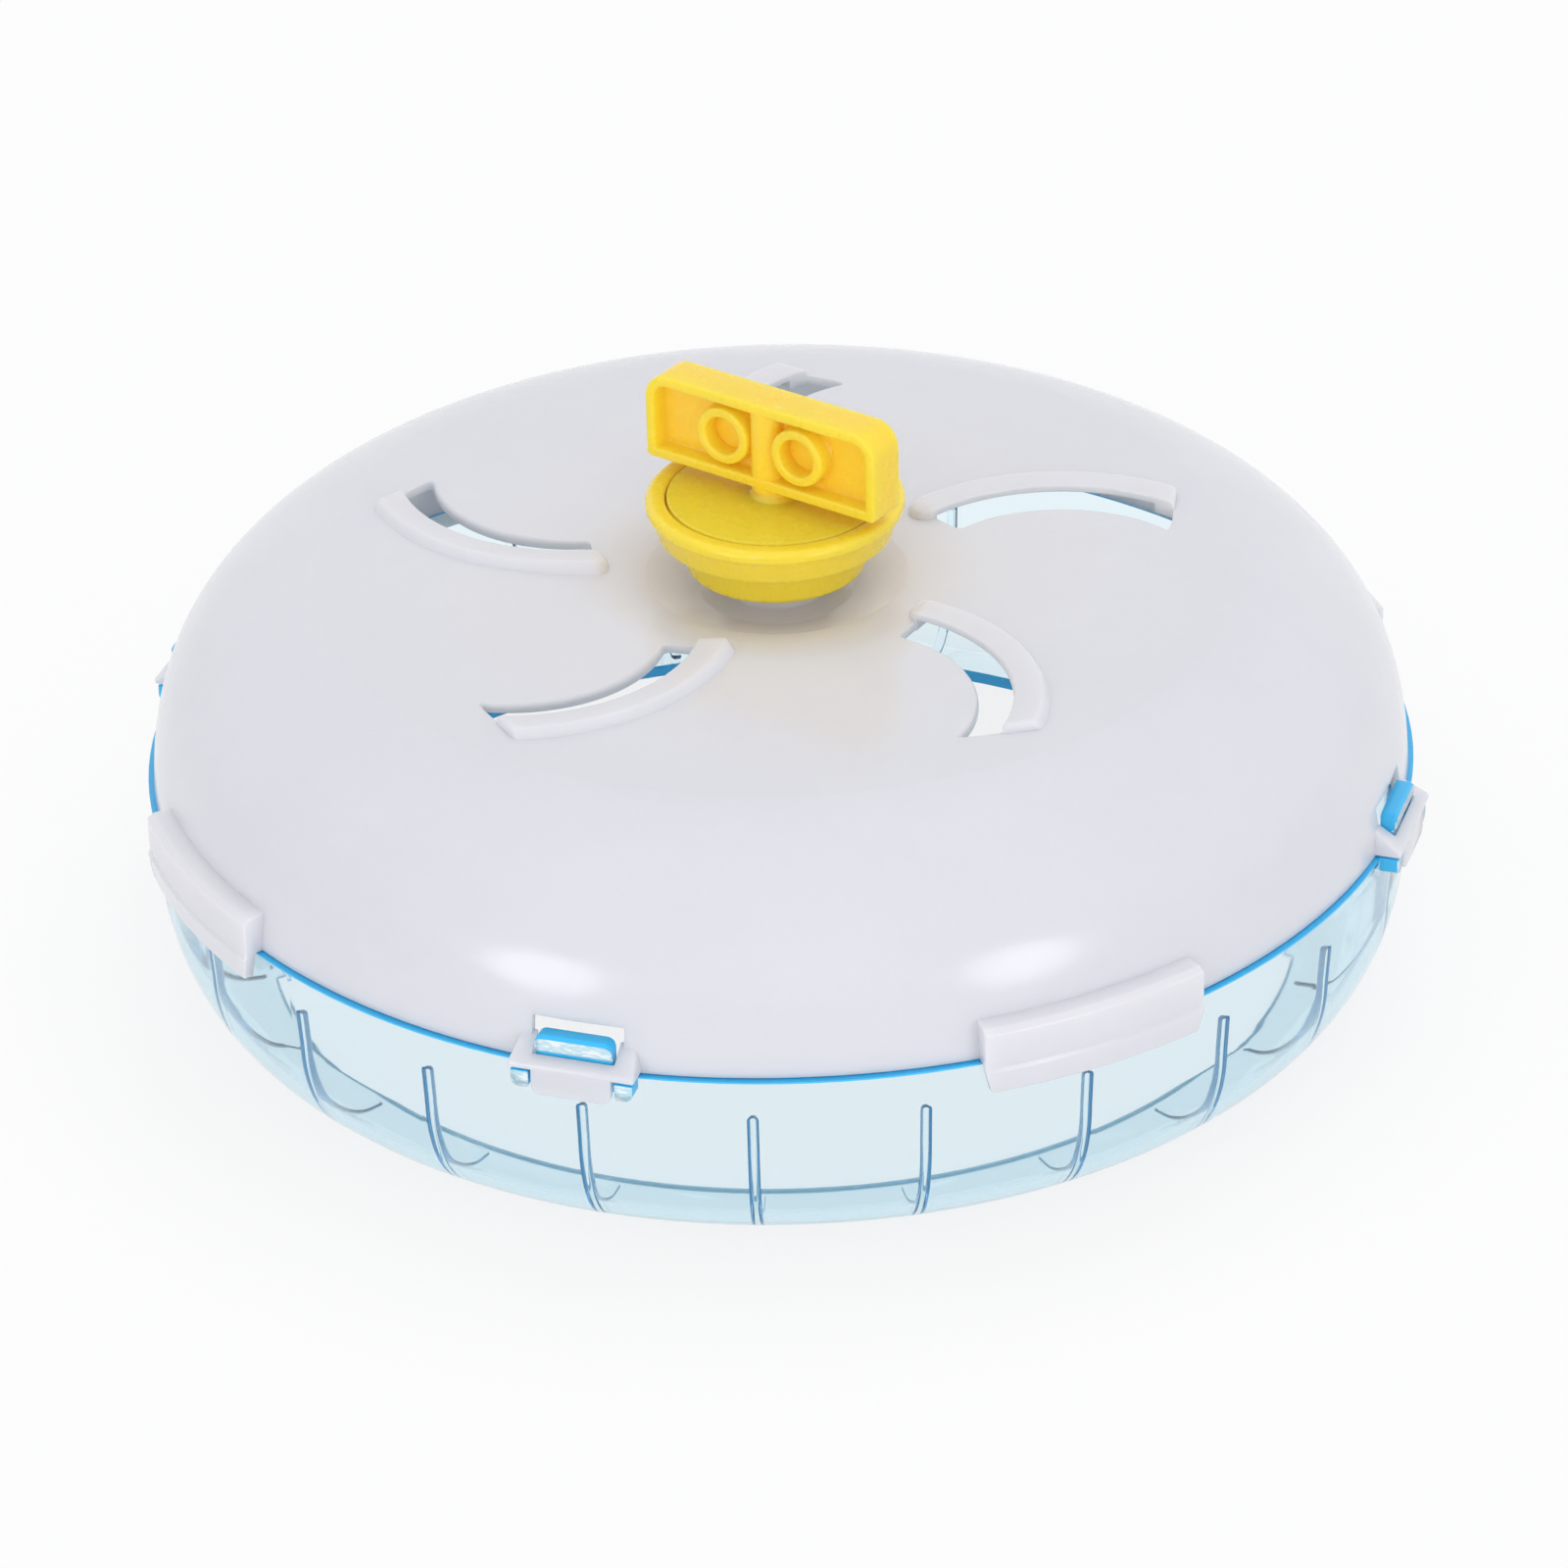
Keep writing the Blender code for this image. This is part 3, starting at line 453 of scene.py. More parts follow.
class SolidTree:
    """A Geometry Nodes tree that makes or changes one solid, with named inputs."""

    name: str
    numbers: dict[str, str] = {}

    def __init__(self) -> None:
        """Write the tree: its inputs, the nodes between, then real copies with their material."""
        self.group = bpy.data.node_groups.new(self.name, "GeometryNodeTree")
        face = self.group.interface
        face.new_socket("Solid", in_out="INPUT", socket_type="NodeSocketGeometry")
        self.sockets = {}
        for label, kind in {**self.numbers, "Finish": "Material"}.items():
            socket = face.new_socket(label, in_out="INPUT", socket_type=f"NodeSocket{kind}")
            self.sockets[label] = socket.identifier
        face.new_socket("Made", in_out="OUTPUT", socket_type="NodeSocketGeometry")
        tree = Tree(self.group)
        given = tree.add("NodeGroupInput").outputs
        real = tree.value("GeometryNodeRealizeInstances", {"Geometry": self.write(tree, given)})
        done = tree.value("GeometryNodeSetMaterial", {"Geometry": real, "Material": given["Finish"]})
        tree.add("NodeGroupOutput", {0: done})

    def write(self, tree: Tree, given: bpy.types.bpy_prop_collection) -> bpy.types.NodeSocket:
        """Write the nodes of this kind of tree and return their geometry."""
        raise NotImplementedError

    def run(self, thing: bpy.types.Object, **numbers: float) -> bpy.types.Object:
        """Run the tree on an object.

        Args:
            thing: The object.
            numbers: The tree's inputs, by their names in small letters with _ for a space.

        Returns:
            The object, now plain mesh.
        """
        step = thing.modifiers.new(self.name, "NODES")
        step.node_group = self.group
        for label, number in numbers.items():
            step[self.sockets[label.replace("_", " ").capitalize()]] = number
        return plain_mesh(thing)


class Repeater(SolidTree):
    """A tree that sets copies of a solid round the axle."""

    name = "round_the_axle"
    numbers = {"Count": "Int", "First angle": "Float"}

    def write(self, tree: Tree, given: bpy.types.bpy_prop_collection) -> bpy.types.NodeSocket:
        """Write the nodes: one point for each copy, and a turn that grows with its number."""
        step = tree.math("DIVIDE", 2 * math.pi, given["Count"])
        turn = tree.math("MULTIPLY", tree.value("GeometryNodeInputIndex"), step)
        turn = tree.math("ADD", turn, given["First angle"])
        turning = tree.value("ShaderNodeCombineXYZ", {"Z": turn})
        line = {"Count": given["Count"], "Offset": (0.0, 0.0, 0.0)}
        spots = tree.value("GeometryNodeMeshLine", line, "Mesh")
        return tree.value("GeometryNodeInstanceOnPoints",
                          {"Points": spots, "Instance": given["Solid"], "Rotation": turning})

    def repeat(self, thing: bpy.types.Object, count: int, first: float = 0.0) -> bpy.types.Object:
        """Repeat a solid round the axle.

        Args:
            thing: The solid, in its place at facing angle zero.
            count: How many copies a full turn has.
            first: The first copy's angle in degrees.

        Returns:
            The object, now holding every copy as plain mesh.
        """
        return self.run(thing, count=count, first_angle=math.radians(first))


class Ribber(SolidTree):
    """A tree that raises rounded ribs on a wall from what its points know about them."""

    name = "running_rungs"
    numbers = {"Half width": "Float", "Height": "Float", "Fullness": "Float"}

    def write(self, tree: Tree, given: bpy.types.bpy_prop_collection) -> bpy.types.NodeSocket:
        """Write the nodes: the distance from a rib's middle line gives how far a point is lifted."""
        across = tree.value("GeometryNodeInputNamedAttribute", {"Name": "across"})
        beyond = tree.value("GeometryNodeInputNamedAttribute", {"Name": "beyond"})
        inward = tree.value("GeometryNodeInputNamedAttribute", {"Name": "inward"}, data_type="FLOAT_VECTOR")
        square = tree.math("ADD", tree.math("MULTIPLY", across, across),
                           tree.math("MULTIPLY", beyond, beyond))
        share = tree.math("DIVIDE", tree.math("SQRT", square), given["Half width"])
        drop = tree.math("POWER", tree.math("MINIMUM", share, 1.0), given["Fullness"])
        rise = tree.math("SQRT", tree.math("SUBTRACT", 1.0, drop))
        lift = tree.math("MULTIPLY", rise, given["Height"])
        shift = tree.value("ShaderNodeVectorMath", {0: inward, "Scale": lift}, operation="SCALE")
        return tree.value("GeometryNodeSetPosition", {"Geometry": given["Solid"], "Offset": shift})


class Threader(SolidTree):
    """A tree that winds a screw thread's ridge upwards from the origin."""

    name = "screw_thread"
    numbers = {"Radius": "Float", "Length": "Float", "Turns": "Float", "Ridge": "Float"}

    def write(self, tree: Tree, given: bpy.types.bpy_prop_collection) -> bpy.types.NodeSocket:
        """Write the nodes: a diamond section swept along a spiral."""
        spiral = tree.value("GeometryNodeCurveSpiral", {
            "Resolution": 24, "Rotations": given["Turns"], "Start Radius": given["Radius"],
            "End Radius": given["Radius"], "Height": given["Length"]})
        ridge = tree.value("GeometryNodeCurvePrimitiveCircle",
                           {"Resolution": 4, "Radius": given["Ridge"]}, mode="RADIUS")
        return tree.value("GeometryNodeCurveToMesh",
                          {"Curve": spiral, "Profile Curve": ridge, "Fill Caps": True})


# Finishes

PLASTIC_IOR = 1.49
BUMP_DEPTH = 0.0001
SPECK_COLOUR = (0.09, 0.075, 0.07, 1)
LAMPLIGHT_THROUGH = (0.86, 0.95, 0.99, 1)
PLAIN_WHITE = (1, 1, 1, 1)


class Finish:
    """A surface finish that can make its material once."""

    name: str

    def material(self) -> bpy.types.Material:
        """Return the finish's material, made at its first use."""
        found = bpy.data.materials.get(self.name)
        if found:
            return found
        made = bpy.data.materials.new(self.name)
        made.use_nodes = True
        made.node_tree.nodes.clear()
        self.write(Tree(made.node_tree))
        return made

    def write(self, tree: Tree) -> None:
        """Write the material's nodes."""
        raise NotImplementedError


def colour_mix(tree: Tree, share: object, first: object, second: object) -> bpy.types.NodeSocket:
    """Mix two colours by a share."""
    node = tree.add("ShaderNodeMix", {0: share, 6: first, 7: second}, data_type="RGBA")
    return node.outputs[2]


def above(tree: Tree, value: object, low: float, high: float) -> bpy.types.NodeSocket:
    """Map a value to 0 at low and 1 at high, with smooth ends."""
    return tree.value("ShaderNodeMapRange", {"Value": value, "From Min": low, "From Max": high},
                      interpolation_type="SMOOTHSTEP")


def noise(tree: Tree, where: object, scale: float, detail: float = 2.0,
          **more: float) -> bpy.types.NodeSocket:
    """Add a noise pattern; its scale is in cells to the metre."""
    inputs = {"Vector": where, "Scale": scale, "Detail": detail}
    inputs.update({key.replace("_", " ").title(): value for key, value in more.items()})
    return tree.value("ShaderNodeTexNoise", inputs, "Fac")


def seen(tree: Tree) -> bpy.types.NodeSocket:
    """Return 1 for rays that the camera, a mirror or clear plastic looks along, and 0 for light itself."""
    ray = tree.add("ShaderNodeLightPath").outputs
    either = tree.math("MAXIMUM", ray["Is Camera Ray"], ray["Is Glossy Ray"])
    return tree.math("MAXIMUM", either, ray["Is Transmission Ray"])


def stretched(tree: Tree, where: object, turn: Sequence[float], stretch: Sequence[float]) -> object:
    """Turn and stretch a pattern's coordinates."""
    return tree.value("ShaderNodeMapping", {"Vector": where, "Rotation": tuple(map(math.radians, turn)),
                                            "Scale": tuple(stretch)})


@dataclass(frozen=True)
class MouldedPlastic(Finish):
    """Opaque moulded plastic: faint mottling, sink, specks, and fine scuffs where it is handled."""

    name: str
    colour: tuple[float, float, float]
    shade: tuple[float, float, float]
    scuff_colour: tuple[float, float, float]
    roughness: float
    mottle: float
    scuffs: float
    specks: float
    glow: float
    glow_reach: tuple[float, float, float]
    bump: float

    def write(self, tree: Tree) -> None:
        """Write the nodes: colour from mottling, specks and scuffs; gloss and bump from the same."""
        where = tree.value("ShaderNodeTexCoord", out="Object")
        cloud = noise(tree, where, 75.0, 3.0)
        fine = noise(tree, where, 420.0, 4.0)
        blend = tree.math("MULTIPLY", above(tree, cloud, 0.35, 0.70), self.mottle)
        finer = tree.math("MULTIPLY", above(tree, fine, 0.40, 0.75), self.mottle * 0.4)
        blend = tree.math("ADD", blend, finer)
        colour = colour_mix(tree, blend, (*self.colour, 1), (*self.shade, 1))
        marks = above(tree, noise(tree, where, 2100.0, 1.0), 0.735, 0.775)
        for turn, stretch, low in (((8, 4, 20), (170, 2600, 2600), 0.665),
                                   ((3, 12, 112), (210, 3000, 3000), 0.672),
                                   ((0, 7, 64), (150, 2200, 2200), 0.675)):
            lines = noise(tree, stretched(tree, where, turn, stretch), 1.0, 2.0, distortion=0.25)
            marks = tree.math("MAXIMUM", marks, above(tree, lines, low, low + 0.05))
        patch = above(tree, noise(tree, where, 190.0, 3.0), 0.50, 0.66)
        marks = tree.math("MULTIPLY", marks, patch)
        marks = tree.math("MULTIPLY", marks, self.scuffs)
        colour = colour_mix(tree, marks, colour, (*self.scuff_colour, 1))
        cells = tree.add("ShaderNodeTexVoronoi", {"Vector": where, "Scale": 165.0})
        chosen = tree.value("ShaderNodeSeparateColor", {0: cells.outputs["Color"]})
        rare = tree.math("GREATER_THAN", chosen, 0.965)
        near = tree.math("LESS_THAN", cells.outputs["Distance"], 0.035)
        speck = tree.math("MULTIPLY", tree.math("MULTIPLY", rare, near), self.specks)
        colour = colour_mix(tree, speck, colour, SPECK_COLOUR)
        gloss = tree.math("MULTIPLY", above(tree, fine, 0.30, 0.70), 0.05)
        gloss = tree.math("ADD", tree.math("ADD", gloss, self.roughness),
                          tree.math("MULTIPLY", marks, 0.05))
        relief = tree.math("ADD", tree.math("MULTIPLY", noise(tree, where, 46.0, 1.0), 3.0),
                           tree.math("MULTIPLY", noise(tree, where, 1500.0, 2.0), 0.10))
        relief = tree.math("ADD", relief, tree.math("MULTIPLY", marks, 0.10))
        bump = tree.value("ShaderNodeBump",
                          {"Strength": self.bump, "Distance": BUMP_DEPTH, "Height": relief})
        shader = tree.value("ShaderNodeBsdfPrincipled", {
            "Base Color": colour, "Roughness": gloss, "IOR": PLASTIC_IOR, "Normal": bump,
            "Subsurface Weight": self.glow, "Subsurface Radius": self.glow_reach,
            "Subsurface Scale": 0.001})
        tree.add("ShaderNodeOutputMaterial", {"Surface": shader})


@dataclass(frozen=True)
class ClearPlastic(Finish):
    """Clear tinted plastic, with a painted saturated blue edge glow where a wall is seen along its sheet,
    and a painted shade line along its rungs' sides.
    """

    name: str
    tint: tuple[float, float, float]
    # Colour of the painted edge glow on cut edges.
    painted_glow: tuple[float, float, float]
    # Pale painted glow of a cut edge seen from within; also the ground colour of the frosting.
    pale: tuple[float, float, float]
    # Colour of the painted shade line along the rungs' sides.
    outline: tuple[float, float, float]
    absorbing: tuple[float, float, float]
    density: float
    # How much the painted edge glow hides the clear plastic.
    glow_cover: float
    # How much the painted rung shade line hides the clear plastic.
    rung_outline_cover: float
    roughness: float
    bump: float

    def write(self, tree: Tree) -> None:
        """Write the nodes: glass that lets lamps through, a painted edge glow on cut edges, a painted shade
        line on the rungs' sides, scratches and frosting.
        """
        where = tree.value("ShaderNodeTexCoord", out="Object")
        within = tree.value("ShaderNodeNewGeometry", out="Backfacing")
        # Faces marked here get the painted edge glow.
        edge = tree.value("ShaderNodeAttribute", out="Fac", attribute_name="painted_edge_glow")
        # Faces marked here get a painted shade line, counted less when seen from outside; values above 1
        # paint a glow on the rungs' low sides.
        side = tree.value("ShaderNodeAttribute", out="Fac", attribute_name="painted_rung_outline")
        side = tree.math("MULTIPLY", side, tree.math("ADD", 0.25, tree.math("MULTIPLY", within, 0.75)))
        painted_foot_glow = above(tree, side, 1.0, 3.0)
        side = tree.math("MINIMUM", side, 1.0)
        frost = tree.value("ShaderNodeAttribute", out="Fac", attribute_name="frosted")
        cloud = noise(tree, where, 120.0, 3.0)
        drift = tree.math("MULTIPLY", above(tree, cloud, 0.3, 0.7), 0.12)
        painted_glow = colour_mix(tree, drift, (*self.painted_glow, 1), tuple(0.82 * c for c in self.painted_glow) + (1,))
        # Seen from within, the painted edge glow turns pale.
        painted_glow = colour_mix(tree, within, painted_glow, (*self.pale, 1))
        colour = colour_mix(tree, edge, (*self.tint, 1), painted_glow)
        # The rungs' painted shade line, mixed towards the painted edge glow on their low sides.
        outline = colour_mix(tree, painted_foot_glow, (*self.outline, 1), (*self.painted_glow, 1))
        colour = colour_mix(tree, side, colour, outline)
        wide = stretched(tree, where, (4, 9, 0), (620, 620, 2600))
        scribble = noise(tree, wide, 1.0, 4.0, distortion=1.4)
        streak = above(tree, scribble, 0.46, 0.60)
        scrawled = colour_mix(tree, streak, (*self.pale, 1), PLAIN_WHITE)
        colour = colour_mix(tree, tree.math("MULTIPLY", frost, 0.8), colour, scrawled)
        cover = tree.math("MULTIPLY", edge, self.glow_cover)
        cover = tree.math("MAXIMUM", cover, tree.math("MULTIPLY", side, self.rung_outline_cover))
        clear = tree.math("SUBTRACT", 1.0, tree.math("ADD", cover, tree.math("MULTIPLY", frost, 0.50)))
        long = stretched(tree, where, (0, 20, 35), (260, 3400, 3400))
        lines = noise(tree, long, 1.0, 2.0, distortion=0.4)
        scratch = above(tree, lines, 0.70, 0.74)
        gloss = tree.math("ADD", tree.math("MULTIPLY", above(tree, cloud, 0.3, 0.7), 0.02), self.roughness)
        gloss = tree.math("ADD", gloss, tree.math("MULTIPLY", scratch, 0.10))
        gloss = tree.math("ADD", gloss, tree.math("MULTIPLY", frost, 0.22))
        gloss = tree.math("ADD", gloss, tree.math("MULTIPLY", edge, 0.18))
        relief = tree.math("ADD", tree.math("MULTIPLY", noise(tree, where, 60.0, 1.0), 1.2),
                           tree.math("MULTIPLY", noise(tree, where, 700.0, 2.0), 0.05))
        relief = tree.math("ADD", relief, tree.math("MULTIPLY", scratch, -0.06))
        scrawl = tree.math("MULTIPLY", tree.math("MULTIPLY", scribble, frost), 14.0)
        relief = tree.math("ADD", relief, scrawl)
        bump = tree.value("ShaderNodeBump",
                          {"Strength": self.bump, "Distance": BUMP_DEPTH, "Height": relief})
        solid = tree.value("ShaderNodeBsdfPrincipled", {
            "Base Color": colour, "Roughness": gloss, "IOR": PLASTIC_IOR, "Normal": bump,
            "Transmission Weight": clear})
        lamp = tree.value("ShaderNodeLightPath", out="Is Shadow Ray")
        through = tree.value("ShaderNodeBsdfTransparent", {"Color": LAMPLIGHT_THROUGH})
        mixed = tree.value("ShaderNodeMixShader", {0: lamp, 1: solid, 2: through})
        inside = tree.value("ShaderNodeVolumeAbsorption",
                            {"Color": (*self.absorbing, 1), "Density": self.density})
        tree.add("ShaderNodeOutputMaterial", {"Surface": mixed, "Volume": inside})


@dataclass(frozen=True)
class Metal(Finish):
    """Bare or plated metal with turning lines round the axle and fine wear."""

    name: str
    colour: tuple[float, float, float]
    worn: tuple[float, float, float]
    roughness: float
    lines: float

    def write(self, tree: Tree) -> None:
        """Write the nodes: rings of turning marks by distance from the axle, and cloudy wear."""
        where = tree.value("ShaderNodeTexCoord", out="Object")
        parts = tree.add("ShaderNodeSeparateXYZ", {0: where})
        x, y, z = parts.outputs
        square = tree.math("ADD", tree.math("MULTIPLY", x, x), tree.math("MULTIPLY", y, y))
        ring = tree.value("ShaderNodeCombineXYZ", {"X": tree.math("SQRT", square), "Y": z})
        marks = noise(tree, ring, 9000.0, 2.0)
        wear = above(tree, noise(tree, where, 380.0, 4.0), 0.42, 0.68)
        colour = colour_mix(tree, wear, (*self.colour, 1), (*self.worn, 1))
        gloss = tree.math("ADD", tree.math("MULTIPLY", wear, 0.12), self.roughness)
        gloss = tree.math("ADD", gloss, tree.math("MULTIPLY", marks, 0.06))
        bump = tree.value("ShaderNodeBump", {"Strength": self.lines, "Distance": 0.00002, "Height": marks})
        shader = tree.value("ShaderNodeBsdfPrincipled", {
            "Base Color": colour, "Metallic": 1.0, "Roughness": gloss, "Normal": bump})
        tree.add("ShaderNodeOutputMaterial", {"Surface": shader})


@dataclass(frozen=True)
class StudioFloor(Finish):
    """The pale floor: matt white that keeps the wheel's shadow, and is clear to a camera below it."""

    name: str
    colour: tuple[float, float, float]
    lift: float

    def write(self, tree: Tree) -> None:
        """Write the nodes: matt white with a little white added for the eye alone."""
        where = tree.value("ShaderNodeTexCoord", out="Object")
        grain = noise(tree, where, 30.0, 2.0)
        colour = colour_mix(tree, grain, (*self.colour, 1), tuple(0.985 * c for c in self.colour) + (1,))
        matt = tree.value("ShaderNodeBsdfDiffuse", {"Color": colour})
        white = tree.value("ShaderNodeEmission", {"Color": PLAIN_WHITE, "Strength": 1.0})
        share = tree.math("MULTIPLY", seen(tree), self.lift)
        mixed = tree.value("ShaderNodeMixShader", {0: share, 1: matt, 2: white})
        normal = tree.value("ShaderNodeNewGeometry", out="Normal")
        height = tree.value("ShaderNodeSeparateXYZ", {"Vector": normal}, out="Z")
        below = tree.math("LESS_THAN", height, 0.0)
        through = tree.value("ShaderNodeBsdfTransparent")
        mixed = tree.value("ShaderNodeMixShader", {0: below, 1: mixed, 2: through})
        tree.add("ShaderNodeOutputMaterial", {"Surface": mixed})


WHITE = MouldedPlastic(
    name="glossy_white_moulding", colour=(0.715, 0.708, 0.748), shade=(0.680, 0.672, 0.718),
    scuff_colour=(0.84, 0.84, 0.86), roughness=0.150, mottle=0.35, scuffs=0.10, specks=0.75,
    glow=0.55, glow_reach=(4.2, 3.9, 3.6), bump=0.10)
YELLOW = MouldedPlastic(
    name="yellow_hub_moulding", colour=(0.955, 0.662, 0.045), shade=(0.935, 0.632, 0.038),
    scuff_colour=(0.98, 0.88, 0.50), roughness=0.25, mottle=0.12, scuffs=0.30, specks=0.35,
    glow=0.70, glow_reach=(4.0, 3.0, 0.6), bump=0.10)
CLEAR_BLUE = ClearPlastic(
    name="clear_blue_moulding", tint=(0.940, 0.974, 0.986), painted_glow=(0.040, 0.530, 0.960),
    pale=(0.45, 0.72, 0.82), outline=(0.020, 0.350, 0.620), absorbing=(0.0, 0.70, 0.95), density=88.0,
    glow_cover=0.88, rung_outline_cover=0.85, roughness=0.02, bump=0.10)
PLATED = Metal(name="zinc_plate", colour=(0.62, 0.64, 0.66), worn=(0.50, 0.52, 0.55),
               roughness=0.26, lines=0.35)
BEARING = Metal(name="ground_bearing_steel", colour=(0.66, 0.66, 0.68), worn=(0.58, 0.58, 0.60),
                roughness=0.12, lines=0.20)
NYLON = MouldedPlastic(
    name="cage_nylon", colour=(0.70, 0.66, 0.54), shade=(0.60, 0.56, 0.45), scuff_colour=(0.80, 0.78, 0.68),
    roughness=0.42, mottle=0.5, scuffs=0.2, specks=0.0, glow=0.1, glow_reach=(1.0, 0.9, 0.7), bump=0.3)
FLOOR = StudioFloor(name="studio_floor", colour=(0.90, 0.90, 0.905), lift=0.82)


# Sub-assemblies


@dataclass
class FrontShell:
    """The clear front shell: drafted wall, round corner, open face, running rungs, latches and lugs."""

    ribber: Ribber
    repeater: Repeater
    rim_radius: float = 0.0700
    depth: float = 0.02265
    wall: float = 0.0014
    corner_width: float = 0.0088
    corner_height: float = 0.0134
    opening_radius: float = 0.0575
    draft: float = 0.070
    edge: float = 0.00018
    outer_chord: float = 0.0016
    inner_chord: float = 0.0010
    rung_chord: float = 0.00013
    floor_band: float = 0.0008
    dense_reach: float = 0.0013
    seam_glow_band: float = 0.00020
    rung_count: int = 24
    rung_half_width: float = 0.0006
    rung_height: float = 0.0009
    rung_fullness: float = 2.6
    rung_top: float = 0.0056
    rung_end_radius: float = 0.0594
    foot_height: float = 0.0060
    foot_share: float = 0.38
    latch_count: int = 4
    latch_half_width: float = 0.0042
    latch_back: float = 0.0690
    latch_front: float = 0.0705
    latch_top: float = 0.0039
    latch_head: float = 0.00035
    latch_head_height: float = 0.0020
    latch_root: float = 0.0020
    latch_corner: float = 0.0010
    latch_edge: float = 0.00012
    latch_trim: float = 0.00018
    hook_rise: float = 0.0003
    hook_edge: float = 0.0001
    rung_offsets: tuple[float, ...] = (
        0.0, 0.00013, 0.00026, 0.00037, 0.00046, 0.00053, 0.00057, 0.0006, 0.00066)
    between_shares: tuple[float, ...] = (0.3, 0.65)
    lug_near: float = 0.00465
    lug_far: float = 0.0066
    lug_top: float = -0.00008
    lug_height: float = 0.0020
    lug_reach: float = 0.0717
    lug_outer_corner: float = 0.0009
    lug_inner_corner: float = 0.0004
    lug_edge: float = 0.00012

    def wall_line(self, shift: float, steps: int) -> list[Point]:
        """Return the wall's line from the seam to the flat face.

        Args:
            shift: How far the line lies inside the outer surface.
            steps: How many chords the round corner has.

        Returns:
            The line's points, with straight stretches divided.
        """
        corner_level = -self.depth + self.corner_height
        corner_radius = self.rim_radius - self.draft * (self.depth - self.corner_height)
        rim = self.rim_radius - shift
        # The second point closes the band at the seam that is painted with edge glow.
        points = [(rim, -SEAM_EDGE), (rim, -SEAM_EDGE - self.seam_glow_band)]
        inner = corner_radius - self.corner_width
        for across, upward in arc((0, 0), 1, 0, -90, steps):
            points.append((inner + (self.corner_width - shift) * across,
                           corner_level + (self.corner_height - shift) * upward))
        return points

    @staticmethod
    def divided(points: Sequence[Point], longest: float) -> list[Point]:
        """Divide a line so that no stretch is longer than a given length."""
        fine = [points[0]]
        for a, b in zip(points, points[1:]):
            count = max(1, math.ceil((Vector(b) - Vector(a)).length / longest))
            fine += [(a[0] + (b[0] - a[0]) * k / count, a[1] + (b[1] - a[1]) * k / count)
                     for k in range(1, count + 1)]
        return fine

    def rows(self) -> list[tuple[Point, Point, float]]:
        """Return each grid row as its point, its inward direction, and how far it is past a rung's ends."""
        floor, ceiling = -self.depth, self.wall - self.depth
        lip_radius = self.opening_radius + self.edge
        outer = self.divided(self.wall_line(0.0, 18), self.outer_chord) + [(lip_radius, floor)]
        inner = self.wall_line(self.wall, 22) + [(lip_radius, ceiling)]
        lip = arc((lip_radius, floor + self.edge), self.edge, -90, -180, 3)[1:]
        lip += arc((lip_radius, ceiling - self.edge), self.edge, 180, 90, 3)[:-1]
        fine = self.divided(inner, self.inner_chord)
        dense: list[Point] = []
        for a, b in zip(fine, fine[1:]):
            middle = ((a[0] + b[0]) / 2, (a[1] + b[1]) / 2)
            near_top = abs(middle[1] + self.rung_top) < self.dense_reach
            near_end = (middle[1] < ceiling + self.floor_band
                        and abs(middle[0] - self.rung_end_radius) < self.dense_reach)
            part = self.divided([a, b], self.rung_chord if near_top or near_end else self.inner_chord)
            dense += part if not dense else part[1:]
        dense = dense[::-1]
        made: list[tuple[Point, Point, float]] = [(p, (0.0, 0.0), 1.0) for p in outer + lip]
        for i, point in enumerate(dense):
            before, after = dense[max(0, i - 1)], dense[min(len(dense) - 1, i + 1)]
            along = (Vector(after) - Vector(before)).normalized()
            beyond = max(0.0, point[1] + self.rung_top)
            if point[1] < ceiling + self.floor_band:
                beyond = max(beyond, self.rung_end_radius - point[0])
            share = min(1.0, max(0.0, (point[1] - ceiling) / self.foot_height))
            full = self.foot_share + (1 - self.foot_share) * share
            made.append((point, (-along.y * full, along.x * full), beyond))
        return made

    def shell(self) -> bpy.types.Object:
        """Make the ribbed wall as one closed grid.

        Returns:
            The wall with its rungs.
        """
        near, far = self.rung_offsets, self.between_shares
        rows = self.rows()
        pitch = 2 * math.pi / self.rung_count
        work = bmesh.new()
        across = work.verts.layers.float.new("across")
        beyond = work.verts.layers.float.new("beyond")
        inward = work.verts.layers.float_vector.new("inward")
        grid: list[list[bmesh.types.BMVert]] = []
        for (radius, level), (lean_out, lean_up), past in rows:
            ring = []
            for rung in range(self.rung_count):
                outermost = near[-1] / radius
                offsets = [-(outermost + (pitch / 2 - outermost) * share) for share in far[::-1]]
                offsets += [-n / radius for n in near[:0:-1]] + [n / radius for n in near]
                offsets += [outermost + (pitch / 2 - outermost) * share for share in [*far, 1.0]]
                for offset in offsets:
                    turn = rung * pitch + offset - math.pi / 2
                    vert = work.verts.new((radius * math.cos(turn), radius * math.sin(turn),
                                           SEAM_HEIGHT + level))
                    vert[across] = abs(offset) * radius
                    vert[beyond] = past
                    vert[inward] = Vector((lean_out * math.cos(turn), lean_out * math.sin(turn), lean_up))
                    ring.append(vert)
            grid.append(ring)
        faced(work, [*grid, grid[0]])
        wall = new_object("front_wall", work)
        return self.ribber.run(wall, half_width=self.rung_half_width, height=self.rung_height,
                               fullness=self.rung_fullness)

